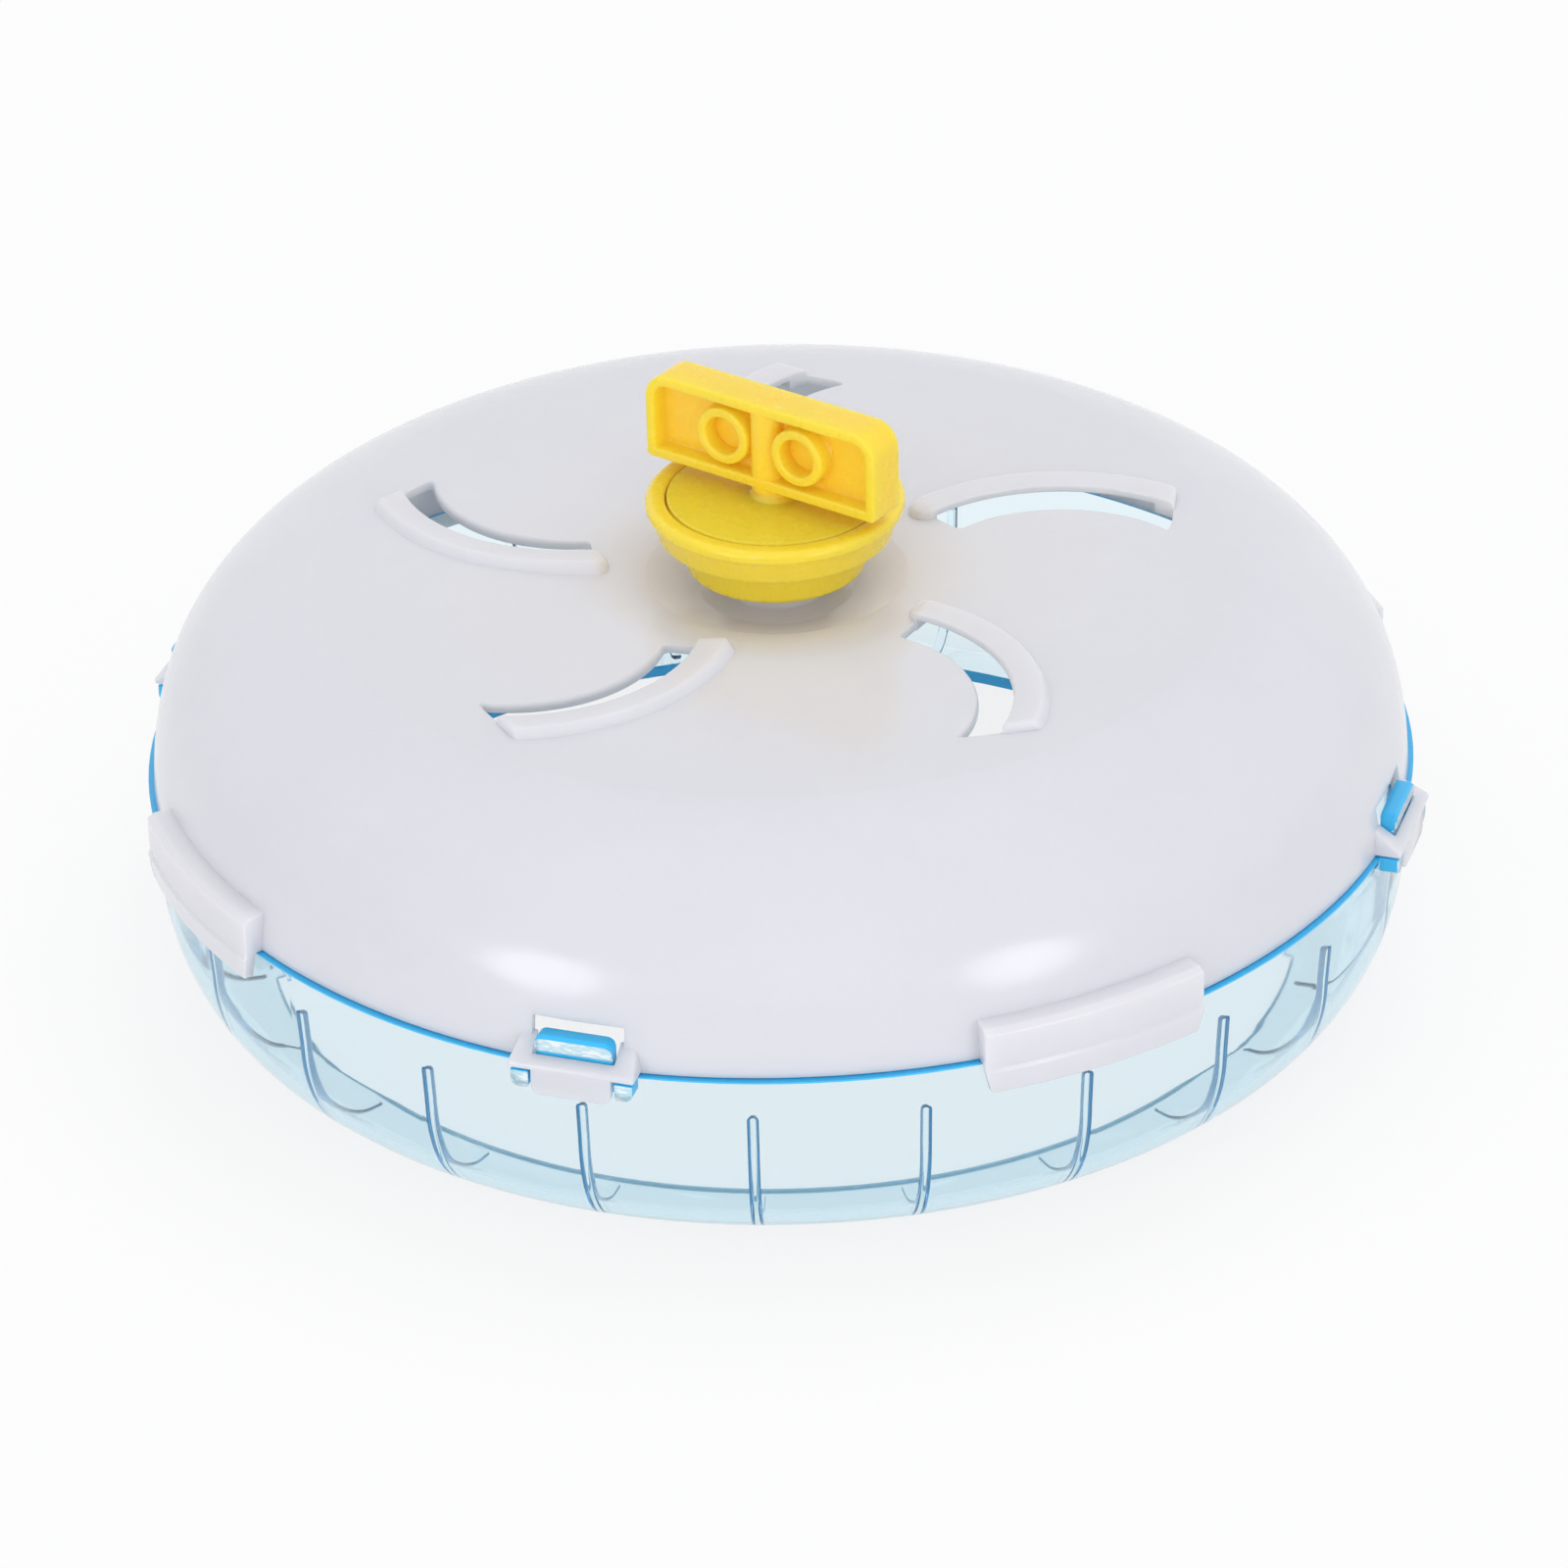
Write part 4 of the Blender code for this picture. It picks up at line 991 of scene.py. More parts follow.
    def latch(self) -> bpy.types.Object:
        """Make one latch: a blade that rises from the wall, with a hooked head and rounded shoulders."""
        hook = self.latch_front + self.latch_head
        hook_level = self.latch_top - self.latch_head_height
        side = [(self.latch_back, -self.latch_root), (self.latch_front, -self.latch_root),
                (self.latch_front, hook_level), (hook, hook_level + self.hook_rise),
                (hook, self.latch_top - self.latch_head), (self.latch_front, self.latch_top),
                (self.latch_back, self.latch_top)]
        outline = fillet(side, [0, 0, self.hook_edge, self.hook_edge, *[self.latch_edge] * 3], 3)
        start = self.latch_top - self.latch_corner
        place = side_view(0)

        def shouldered(u: float, v: float, t: float) -> Vector:
            """Lower the blade's top towards its two ends."""
            past = max(0.0, abs(t) - (self.latch_half_width - self.latch_corner)) / self.latch_corner
            share = math.sqrt(max(0.0, 1 - min(1.0, past) ** 2))
            level = start + (v - start) * share if v > start else v
            return place(u, level, t)

        ends = self.latch_half_width
        rings = spread(-ends, -ends + self.latch_corner, 8) + spread(ends - self.latch_corner, ends, 8)
        points = outline if signed_area(outline) > 0 else outline[::-1]
        sections = []
        for t in rings:
            trim = max(0.0, self.latch_trim - (ends - abs(t)))
            shape = inset(points, trim) if trim > TINY else points
            sections.append([shouldered(u, v, t * 0.999) for u, v in shape])
        return lofted("latch", sections)

    def lug(self, side: int) -> bpy.types.Object:
        """Make one stop under a clip's ear.

        Args:
            side: -1 for left or 1 for right.

        Returns:
            The lug.
        """
        low, high = sorted((side * self.lug_near, side * self.lug_far))
        bottom = self.lug_top - self.lug_height
        lower = [self.lug_outer_corner, self.lug_inner_corner][::-side]
        corners = [(low, bottom), (high, bottom), (high, self.lug_top), (low, self.lug_top)]
        outline = fillet(corners, [*lower, self.lug_edge, self.lug_edge], 5)
        return slab("lug", outline, self.rim_radius - self.wall / 2, self.lug_reach, self.lug_edge,
                    front_view(0), steps=3)

    def mark_glow_outline_and_frost(self, thing: bpy.types.Object) -> None:
        """Mark the cut edges of the sheet for the painted edge glow, the frosted fronts of the fittings,
        and the rungs' sides for the painted shade line.
        """
        mesh = thing.data
        edge = mesh.attributes.new("painted_edge_glow", "FLOAT", "FACE")
        frost = mesh.attributes.new("frosted", "FLOAT", "FACE")
        side = mesh.attributes.new("painted_rung_outline", "FLOAT", "FACE")
        pitch = 2 * math.pi / self.rung_count
        within = self.rim_radius - self.wall * 0.8
        for face in mesh.polygons:
            centre, normal = face.center, face.normal
            radius = math.hypot(centre.x, centre.y)
            level = centre.z - SEAM_HEIGHT
            outward = (normal.x * centre.x + normal.y * centre.y) / radius
            along = abs(normal.x * centre.y - normal.y * centre.x) / radius
            turn = math.atan2(centre.x, -centre.y) / pitch
            across = abs(turn - round(turn)) * pitch * radius
            cut, frosting, outline = 0.0, 0.0, 0.0
            # The painted edge glow goes on the opening's lip, the seam band, the latches' tops and sides,
            # and the lugs' sides and bottoms.
            if radius < self.opening_radius + self.edge * 1.2:
                cut = 1.0
            elif abs(level) < self.seam_glow_band:
                cut = 1.0
            elif level > 0:
                cut = 1.0 if normal.z > 0.35 or (along > 0.5 and normal.z > -0.5) else 0.0
                frosting = 1.0 if outward > 0.5 and normal.z < 0.35 else 0.0
            elif radius > self.rim_radius + SEAM_EDGE:
                cut = 1.0 if along > 0.6 or normal.z < -0.3 else 0.0
                frosting = 1.0 if outward > 0.3 else 0.0
            # The rungs' sides, ends and heads get the painted shade line; their low steep sides get 3.0,
            # which paints a glow there.
            elif outward < 0.6 and radius < within and level > -self.depth + self.wall / 2:
                low = level < -self.depth + self.foot_height
                steep = self.rung_half_width * 0.60 < across < self.rung_half_width * 1.05 and along > 0.75
                end = low and radius < self.rung_end_radius + 0.0004 and outward < -0.4
                head = abs(level + self.rung_top) < self.rung_half_width and normal.z > 0.3
                outline = 1.0 if end or head else (3.0 if low else 1.0) if steep else 0.0
            edge.data[face.index].value = cut
            frost.data[face.index].value = frosting
            side.data[face.index].value = outline

    def build(self) -> bpy.types.Object:
        """Build and dress the front shell.

        Returns:
            The finished piece.
        """
        shell = self.shell()
        fittings = gathered("front_fittings", [self.latch(), self.lug(-1), self.lug(1)])
        fittings = self.repeater.repeat(fittings, self.latch_count)
        shell = combined(shell, fittings, Join.FUSE)
        for name in ("across", "beyond", "inward"):
            found = shell.data.attributes.get(name)
            if found:
                shell.data.attributes.remove(found)
        smoothed(shell, 40)
        self.mark_glow_outline_and_frost(shell)
        return dressed(shell, "front_shell_clear", CLEAR_BLUE, Body.WHEEL, Slot.BLUE, "front_shell")


@dataclass
class BackShell:
    """The white back shell: dished crown, round shoulder, louvred vents, clip loops and guide tabs."""

    repeater: Repeater
    radius: float = 0.0691
    wall: float = 0.0010
    root_share: float = 0.6
    height: float = 0.02265
    crown_radius: float = 0.0507
    across_roundness: float = 1.53
    upward_roundness: float = 2.43
    crowding: float = 1.15
    bank_radius: float = 0.0205
    bank_level: float = 0.02245
    dish_radius: float = 0.0144
    dish_edge: float = 0.0216
    dish_floor_radius: float = 0.0084
    dish_floor: float = 0.0196
    collar_radius: float = 0.0051
    collar_top: float = 0.0235
    stub_radius: float = 0.00385
    stub_top: float = 0.02765
    pilot_radius: float = 0.0016
    hub_rounds: tuple[float, ...] = (
        0, 0, 0.00015, 0.0002, 0.0001, 0.00025, 0.0004, 0.0012, 0.0008, 0.0250, 0)
    under_rounds: tuple[float, ...] = (0, 0.0250, 0.0010, 0.0014, 0)
    foot_round: float = 0.00018
    steps: int = 288
    pull: float = 0.00015
    pull_between: float = 0.00030
    pull_height: float = 0.0090
    vent_count: int = 5
    first_vent: float = 26.9
    vent_centre: float = 0.0314
    slot_inner: float = 0.0162
    slot_outer: float = 0.0199
    slot_start: float = 54.0
    slot_end: float = 141.0
    slot_slant: float = 4.5
    slot_edge: float = 0.0006
    slot_lift: float = 0.00002
    slot_inner_corner: float = 0.0008
    slot_outer_corner: float = 0.0003
    slot_end_band: float = 0.0010
    slot_end_flare: float = 0.6
    slot_chord: float = 0.0006
    hollow_overlap: float = 0.0006
    hollow_start: float = 65.5
    hollow_end: float = 140.5
    hollow_rise: float = 0.0002
    hollow_rounds: tuple[float, ...] = (0, 0, 0.0003, 0.0004, 0)
    hood_toe: float = 0.0240
    hood_root: float = 0.0009
    hood_height: float = 0.00085
    hood_shoulder: float = 0.0011
    hood_bevel: float = 0.0010
    hood_lip: float = 0.0008
    hood_start: float = 61.0
    hood_end: float = 145.0
    hood_slant: float = 3.0
    hood_round: float = 0.0019
    hood_rim_round: float = 0.0007
    hub_fullness: float = 2.2
    rim_fullness: float = 2.4
    hub_narrowest: float = 0.08
    rim_narrowest: float = 0.90
    hub_lowest: float = 0.30
    rim_lowest: float = 0.55
    hood_toe_rise: float = 0.0003
    hood_rounds: tuple[float, ...] = (0, 0, 0.0002, 0.0006, 0.00028)
    clip_count: int = 4
    loop_reach: float = 0.0720
    loop_half_width: float = 0.0069
    loop_top: float = 0.0031
    loop_slant: float = 0.12
    loop_bend: float = 1.4
    loop_edge: float = 0.00032
    loop_rounds: tuple[float, ...] = (0, 0.00034, 0.0006, 0.0014, 0)
    bar_inner: float = 0.0708
    bar_top: float = 0.0009
    bar_shoulder: float = 0.0016
    over_rim: float = 0.0703
    loop_foot: float = 0.0002
    gap_half_width: float = 0.0045
    gap_top: float = 0.0060
    gap_depth: float = 0.0060
    gap_corner: float = 0.0003
    gap_edge: float = 0.0002
    window_half_width: float = 0.0050
    window_top: float = 0.0050
    window_corner: float = 0.00025
    tongue_half_width: float = 0.00435
    tongue_drop: float = 0.00265
    tongue_thickness: float = 0.0010
    tongue_corner: float = 0.0011
    tongue_overlap: float = 0.0006
    tongue_edge: float = 0.0002
    guide_half_length: float = 0.0131
    guide_reach: float = 0.0718
    guide_step: float = 0.00022
    guide_top: float = 0.0045
    guide_waist: float = -0.0002
    guide_drop: float = 0.0031
    guide_taper: float = 0.0003
    guide_nip: float = 0.0008
    guide_edge: float = 0.0002
    guide_step_rise: float = 0.0002
    guide_shoulder_drop: float = 0.0005
    guide_shoulder_reach: float = 0.0010
    guide_rounds: tuple[float, ...] = (0, 0, 0.00022, 0.00035, 0.00022, 0.00022, 0.00024, 0.00035, 0)

    def shoulder(self, shift: float, steps: int) -> list[Point]:
        """Return the shoulder's curve from the crown to the seam.

        Args:
            shift: How far it lies inside the outer surface.
            steps: How many chords it has.

        Returns:
            The curve's points.
        """
        width = self.radius - self.crown_radius - shift
        rise = self.height - shift - SEAM_EDGE
        points = []
        for k in range(steps + 1):
            turn = math.pi / 2 * (1 - (k / steps) ** self.crowding)
            across = max(0.0, math.cos(turn)) ** (2 / self.across_roundness)
            upward = max(0.0, math.sin(turn)) ** (2 / self.upward_roundness)
            points.append((self.crown_radius + width * across, SEAM_EDGE + rise * upward))
        return points

    def profile(self) -> list[Point]:
        """Return the turned section, from the screw's hole over the crown and back inside."""
        floor = self.dish_floor - self.wall
        middle = [(0, self.dish_floor), (self.pilot_radius, self.dish_floor),
                  (self.pilot_radius, self.stub_top), (self.stub_radius, self.stub_top),
                  (self.stub_radius, self.collar_top), (self.collar_radius, self.collar_top),
                  (self.collar_radius, self.dish_floor),
                  (self.dish_floor_radius, self.dish_floor), (self.dish_radius, self.dish_edge),
                  (self.bank_radius, self.bank_level), (self.crown_radius, self.height)]
        outer = fillet(middle, self.hub_rounds, 10, closed=False)[:-1]
        outer += [(radius, self.height) for radius in spread(outer[-1][0], self.crown_radius, 5)[1:-1]]
        inner = [(self.crown_radius, self.height - self.wall),
                 (self.bank_radius, self.bank_level - self.wall),
                 (self.dish_radius, self.dish_edge - self.wall),
                 (self.dish_floor_radius, floor), (0, floor)]
        inner = fillet(inner, self.under_rounds, 8, closed=False)[1:]
        foot = self.foot_round
        curve = self.shoulder(0, 40)
        curve = curve[:-1] + [(self.radius, SEAM_EDGE + foot)]
        curve += arc((self.radius - foot, SEAM_EDGE + foot), foot, 0, -90, 3)[1:]
        return outer + curve + self.shoulder(self.wall, 32)[::-1] + inner

    def drawn_out(self, shell: bpy.types.Object) -> bpy.types.Object:
        """Draw the wall's foot a little outwards, most where clips and guides hold it."""
        for vert in shell.data.vertices:
            level = vert.co.z - SEAM_HEIGHT
            radius = math.hypot(vert.co.x, vert.co.y)
            if radius > self.crown_radius and level < self.pull_height:
                share = (1 - max(0.0, level) / self.pull_height) ** 2
                facing = math.atan2(vert.co.x, -vert.co.y)
                reach = self.pull_between + self.pull * math.cos(self.clip_count * facing) ** 2
                grow = 1 + reach * share / radius
                vert.co.x *= grow
                vert.co.y *= grow
        return shell

    def vent_place(self, start: float) -> Placing:
        """Place u as distance from the vent's centre, v as level and t as length along its arc."""
        outward, sideways = directions(0)
        centre = outward * self.vent_centre

        def place(u: float, v: float, t: float) -> Vector:
            """Bend t round the vent's centre, from the outward direction."""
            turn = math.radians(start) + t / self.slot_outer
            return centre + (outward * math.cos(turn) + sideways * math.sin(turn)) * u \
                + UP * (SEAM_HEIGHT + v)
        return place

    def arc_length(self, start: float, end: float) -> float:
        """Return a stretch of a vent's arc as a length."""
        return math.radians(end - start) * self.slot_outer

    def below(self) -> float:
        """Return a level under the whole crown, where its cutters start."""
        return self.dish_floor - self.wall - OVERRUN

    def hood(self) -> bpy.types.Object:
        """Make one raised louvre with its rounded hub end."""
        low = self.height - self.hood_root
        top = self.height + self.hood_height
        shoulder = (self.hood_toe - self.hood_bevel, self.height + self.hood_shoulder)
        section = [(self.slot_outer, low), (self.hood_toe, low),
                   (self.hood_toe, self.height - self.hood_toe_rise),
                   shoulder, (self.slot_outer, top)]
        outline = fillet(section, self.hood_rounds, 5)
        length = self.arc_length(self.hood_start, self.hood_end)
        place = self.vent_place(self.hood_start)
        middle = (self.slot_outer + self.hood_toe) / 2
        half = (self.hood_toe - self.slot_outer) / 2
        lean = self.arc_length(0, self.hood_slant)

        def rounded(u: float, v: float, t: float) -> Vector:
            """Draw the louvre in towards its two ends, the one at the rim cut aslant."""
            hub = min(1.0, max(0.0, (t - (length - self.hood_round)) / self.hood_round))
            rim = min(1.0, max(0.0, 1 - t / self.hood_rim_round))
            off_hub = 1 - math.sqrt(1 - hub ** self.hub_fullness)
            off_rim = 1 - math.sqrt(1 - rim ** self.rim_fullness)
            narrow = (1 - (1 - self.hub_narrowest) * off_hub) * (1 - (1 - self.rim_narrowest) * off_rim)
            lower = (1 - (1 - self.hub_lowest) * off_hub) * (1 - (1 - self.rim_lowest) * off_rim)
            level = low + (v - low) * lower if v > low else v
            aslant = lean * (u - middle) / half * max(0.0, 1 - t / length)
            return place(middle + (u - middle) * narrow, level, t + aslant)

        stations = spread(0, self.hood_rim_round, 7)
        stations += spread(self.hood_rim_round, length - self.hood_round, 44)[1:]
        stations += [length - self.hood_round * (1 - rise) for _, rise in arc((0, 0), 1, 0, 90, 10)[1:]]
        points = outline if signed_area(outline) > 0 else outline[::-1]
        return lofted("hood", [[rounded(u, v, t) for u, v in points] for t in stations])

    def slot(self) -> bpy.types.Object:
        """Make one slot's cutter, flared at the crown so that its inner edge comes out round."""
        surface = self.height + self.slot_lift
        flare = self.slot_edge
        length = self.arc_length(self.slot_start, self.slot_end)
        outline = rounded_rectangle((0, self.slot_inner), (length, self.slot_outer),
                                    self.slot_inner_corner, self.slot_outer_corner, 6)
        place = self.vent_place(self.slot_start)
        lean = self.arc_length(0, self.slot_slant)
        middle = (self.slot_inner + self.slot_outer) / 2
        stations = [(self.below(), 0.0), (surface - flare, 0.0)]
        stations += [(surface - flare + flare * rise, flare * (1 - run))
                     for run, rise in arc((0, 0), 1, 0, 90, 5)[1:]]
        stations.append((self.height + self.hood_height + OVERRUN, flare))
        rings = []
        for level, grow in stations:
            ring = []
            for t, u in FrontShell.divided([*outline, outline[0]], self.slot_chord)[:-1]:
                share = (self.slot_outer - u) / (self.slot_outer - self.slot_inner)
                aslant = lean * (u - middle) / (self.slot_outer - middle) * max(0.0, 1 - t / length)
                side = 1 if t > length - self.slot_end_band else -1 if t < self.slot_end_band else 0
                ends = grow * self.slot_end_flare * share * side
                ring.append(place(u - grow * share, level, t + aslant + ends))
            rings.append(ring)
        return lofted("slot", rings)

    def hollow(self) -> bpy.types.Object:
        """Make the cutter for the hollow under one hood."""
        low = self.below()
        near = self.slot_outer - self.hollow_overlap
        lip_foot = self.height + self.hood_height - self.hood_lip
        end = self.hood_toe - self.hood_lip
        section = [(near, low), (end, low), (end, self.height - self.wall + self.hollow_rise),
                   (self.slot_outer + self.hood_lip, lip_foot), (near, lip_foot)]
        outline = fillet(section, self.hollow_rounds, 4)
        length = self.arc_length(self.hollow_start, self.hollow_end)
        return slab("hollow", outline, 0, length, 0.0, self.vent_place(self.hollow_start), divisions=44)

    def window(self) -> bpy.types.Object:
        """Make the cutter for the window behind one clip."""
        outline = rounded_rectangle((-self.window_half_width, -OVERRUN),
                                    (self.window_half_width, self.window_top),
                                    self.window_corner, self.window_corner, 4)
        return slab("window", outline, self.crown_radius, self.loop_reach + OVERRUN, 0.0, front_view(0))

    def loop(self) -> bpy.types.Object:
        """Make one clip's loop: two rounded ears, the bar between them and its tongue."""
        inner = self.radius - self.wall * self.root_share
        side = [(inner, self.loop_foot), (self.loop_reach, self.loop_foot), (self.loop_reach, self.bar_top),
                (self.bar_inner, self.bar_shoulder), (inner, self.loop_top)]
        outline = fillet(side, self.loop_rounds, 6)
        place = side_view(0)

        def slanted(u: float, v: float, t: float) -> Vector:
            """Draw the ears in towards their tops."""
            share = max(0.0, (v - self.loop_foot) / (self.loop_top - self.loop_foot))
            return place(u, v, t * (1 - self.loop_slant * share ** self.loop_bend))

        ears = slab("loop", outline, -self.loop_half_width, self.loop_half_width, self.loop_edge,
                    slanted, steps=6)
        gap = rounded_rectangle((-self.gap_half_width, -OVERRUN), (self.gap_half_width, self.gap_top),
                                self.gap_corner, self.gap_corner, 4)
        gap = slab("gap", gap, self.radius - self.gap_depth, self.bar_inner, self.gap_edge, front_view(0))
        ears = combined(ears, gap, Join.CUT)
        face = rounded_rectangle((-self.tongue_half_width, -self.tongue_drop),
                                 (self.tongue_half_width, self.loop_foot + self.tongue_overlap),
                                 self.tongue_corner, self.tongue_edge, 6)
        outer = self.loop_reach - SEAM_EDGE
        tongue = slab("tongue", face, outer - self.tongue_thickness, outer, self.tongue_edge,
                      front_view(0), steps=3)
        return combined(ears, tongue, Join.FUSE)

    def guide(self) -> bpy.types.Object:
        """Make one long guide tab that follows the rim."""
        inner = self.radius - self.wall * self.root_share
        reach = self.guide_reach
        rise = self.guide_step_rise
        section = [(inner, SEAM_EDGE), (self.over_rim, SEAM_EDGE), (self.over_rim, -self.guide_drop),
                   (reach - self.guide_taper, -self.guide_drop), (reach, self.guide_waist - rise),
                   (reach - self.guide_step, self.guide_waist + rise),
                   (reach - self.guide_step, self.guide_top - self.guide_shoulder_drop),
                   (reach - self.guide_shoulder_reach, self.guide_top), (inner, self.guide_top + rise)]
        outline = fillet(section, self.guide_rounds, 5)
        outward, sideways = directions(0)

        def bent(u: float, v: float, t: float) -> Vector:
            """Bend t round the axle, and draw the ends in towards the lip."""
            share = max(0.0, (self.guide_waist - v) / (self.guide_drop + self.guide_waist))
            turn = t * (1 - self.guide_nip / self.guide_half_length * share ** 2) / reach
            return (outward * math.cos(turn) + sideways * math.sin(turn)) * u + UP * (SEAM_HEIGHT + v)

        return slab("guide", outline, -self.guide_half_length, self.guide_half_length, self.guide_edge,
                    bent, divisions=16, steps=4)

    def build(self) -> bpy.types.Object:
        """Build and dress the back shell.

        Returns:
            The finished piece.
        """
        shell = self.drawn_out(turned("back_wall", self.profile(), self.steps))
        for maker, how in ((self.hood, Join.FUSE), (self.hollow, Join.CUT), (self.slot, Join.CUT)):
            shell = combined(shell, self.repeater.repeat(maker(), self.vent_count, self.first_vent), how)
        shell = combined(shell, self.repeater.repeat(self.window(), self.clip_count), Join.CUT)
        loops = self.repeater.repeat(self.loop(), self.clip_count)
        guides = self.repeater.repeat(self.guide(), self.clip_count, 45.0)
        shell = combined(shell, gathered("back_fittings", [loops, guides]), Join.FUSE)
        smoothed(shell)
        return dressed(shell, "back_shell_white", WHITE, Body.WHEEL, Slot.WHITE, "back_shell")


@dataclass
class Hub:
    """The yellow hub: the stepped bearing cup, and its lid with the neck and the hollow key plate."""

    cup_level: float = 0.02265
    band_level: float = 0.0269
    flange_level: float = 0.0297
    lid_level: float = 0.0312
    well_radius: float = 0.0120
    flange_radius: float = 0.01415
    band_radius: float = 0.0129
    waist_radius: float = 0.0099
    foot_radius: float = 0.0098
    band_taper: float = 0.00045
    ledge_width: float = 0.0013
    ledge_drop: float = 0.0016
    cup_floor: float = 0.0010
    pocket_radius: float = 0.00815
    cup_rounds: tuple[float, ...] = (0.0004, 0.00075, 0.0005, 0.0003, 0.0004, 0.0003, 0.0006, 0.0003,
                                     0.0002, 0.0002, 0.0002, 0.0002, 0.0002, 0.0001)
    hole_radius: float = 0.0054
    lid_radius: float = 0.0118
    lid_thickness: float = 0.0012
    lid_pocket_radius: float = 0.0036
    lid_pocket_level: float = 0.0306
    lid_rounds: tuple[float, ...] = (0, 0, 0.0005, 0.0003, 0.00022, 0.0002, 0.0001, 0.0001, 0)
    neck_radius: float = 0.00215
    neck_foot: float = 0.0006
    plate_level: float = 0.0326
    plate_angle: float = -17.6
    plate_length: float = 0.0302
    plate_slip: float = -0.0003
    plate_height: float = 0.0101
    plate_thickness: float = 0.0050
    head_corner: float = 0.0028
    foot_corner: float = 0.0006
    plate_wall: float = 0.0012
    recess: float = 0.0021
    edge: float = 0.0003
    inner_foot_corner: float = 0.00025
    post_radius: float = 0.0019
    post_flare: float = 0.0002
    post_drop: float = 0.0005
    boss_spacing: float = 0.0098
    boss_radius: float = 0.0033
    bore_radius: float = 0.0022
    boss_flare: float = 0.0003
    boss_rounds: tuple[float, ...] = (0, 0, 0.0002, 0.0003, 0.0003)
    steps: int = 160

    def cup(self) -> bpy.types.Object:
        """Build and dress the bearing cup.

        Returns:
            The finished piece.
        """
        ledge = self.well_radius - self.ledge_width
        inside = self.cup_level + self.cup_floor
        pocket = self.flange_level - self.ledge_drop
        profile = [(self.well_radius, self.lid_level), (self.flange_radius, self.lid_level),
                   (self.flange_radius, self.flange_level),
                   (self.band_radius + self.band_taper, self.flange_level),
                   (self.band_radius, self.band_level), (self.waist_radius, self.band_level),
                   (self.foot_radius, self.cup_level), (self.hole_radius, self.cup_level),
                   (self.hole_radius, inside), (self.pocket_radius, inside), (self.pocket_radius, pocket),
                   (ledge, pocket), (ledge, self.flange_level), (self.well_radius, self.flange_level)]
        cup = smoothed(turned("cup", fillet(profile, self.cup_rounds, 6), self.steps))
        return dressed(cup, "hub_cup_yellow", YELLOW, Body.MOUNT, Slot.YELLOW, "hub_cup")

    def plate_place(self) -> Placing:
        """Place u along the key plate, v as level and t towards its open side."""
        turn = math.radians(self.plate_angle)
        along = Vector((math.cos(turn), math.sin(turn), 0))
        towards = along.cross(UP)
        return lambda u, v, t: along * (u + self.plate_slip) + towards * t + UP * (SEAM_HEIGHT + v)

    def tray(self) -> bpy.types.Object:
        """Make the hollow plate with its rounded rim, as one closed loft."""
        half, front = self.plate_length / 2, self.plate_thickness / 2
        top = self.plate_level + self.plate_height
        floor = front - self.recess
        e, w = self.edge, self.plate_wall
        place = self.plate_place()

        def ring(shift: float, t: float) -> list[Vector]:
            """Return the plate's outline moved inwards, at a depth."""
            foot = max(self.foot_corner - shift, self.inner_foot_corner)
            outline = rounded_rectangle((-half + shift, self.plate_level + shift),
                                        (half - shift, top - shift), foot, self.head_corner - shift, 9)
            return [place(u, v, t) for u, v in outline]

        bend = arc((e, e), e, 180, 270, 4)
        rings = [ring(v, u - front) for u, v in bend]
        rings += [ring(u, front - v) for u, v in bend]
        rings += [ring(w - v, front - u) for u, v in bend]
        rings += [ring(w + u, floor + v) for u, v in bend]
        return lofted("tray", rings)

    def boss(self, side: int) -> bpy.types.Object:
        """Make one hollow boss, turned about its own line and laid along the plate's depth."""
        front = self.plate_thickness / 2
        depth = self.recess
        middle = self.plate_level + self.plate_height / 2
        place = self.plate_place()
        flare = self.boss_flare
        profile = [(self.bore_radius, -depth), (self.boss_radius + flare, -depth - flare / 3),
                   (self.boss_radius, -depth + flare), (self.boss_radius, 0.0), (self.bore_radius, 0.0)]
        profile = fillet(profile, self.boss_rounds, 4)
        across = side * self.boss_spacing / 2
        work = bmesh.new()
        rings = [[work.verts.new(place(across + r * run, middle + r * rise, front + d)) for r, d in profile]
                 for run, rise in arc((0, 0), 1, 0, 360, 56)[:-1]]
        faced(work, [*rings, rings[0]])
        return new_object("boss", work)

    def post(self) -> bpy.types.Object:
        """Make the round post that runs up the plate's middle from its neck."""
        place = self.plate_place()
        centre = self.plate_thickness / 2 - self.post_radius
        bottom = self.plate_level - self.post_drop
        top = self.plate_level + self.plate_height - self.plate_wall / 2
        flare = self.post_flare
        rings = []
        for level, grow in ((bottom, 0.0), (self.plate_level + self.plate_wall / 2, 0.0),
                            (top - 5 * flare, 0.0), (top - 1.5 * flare, 0.3 * flare), (top, flare)):
            rings.append([place((self.post_radius + grow) * run, level, centre + self.post_radius * rise)
                          for run, rise in arc((0, 0), 1, 0, 360, 40)[:-1]])
        return lofted("post", rings)

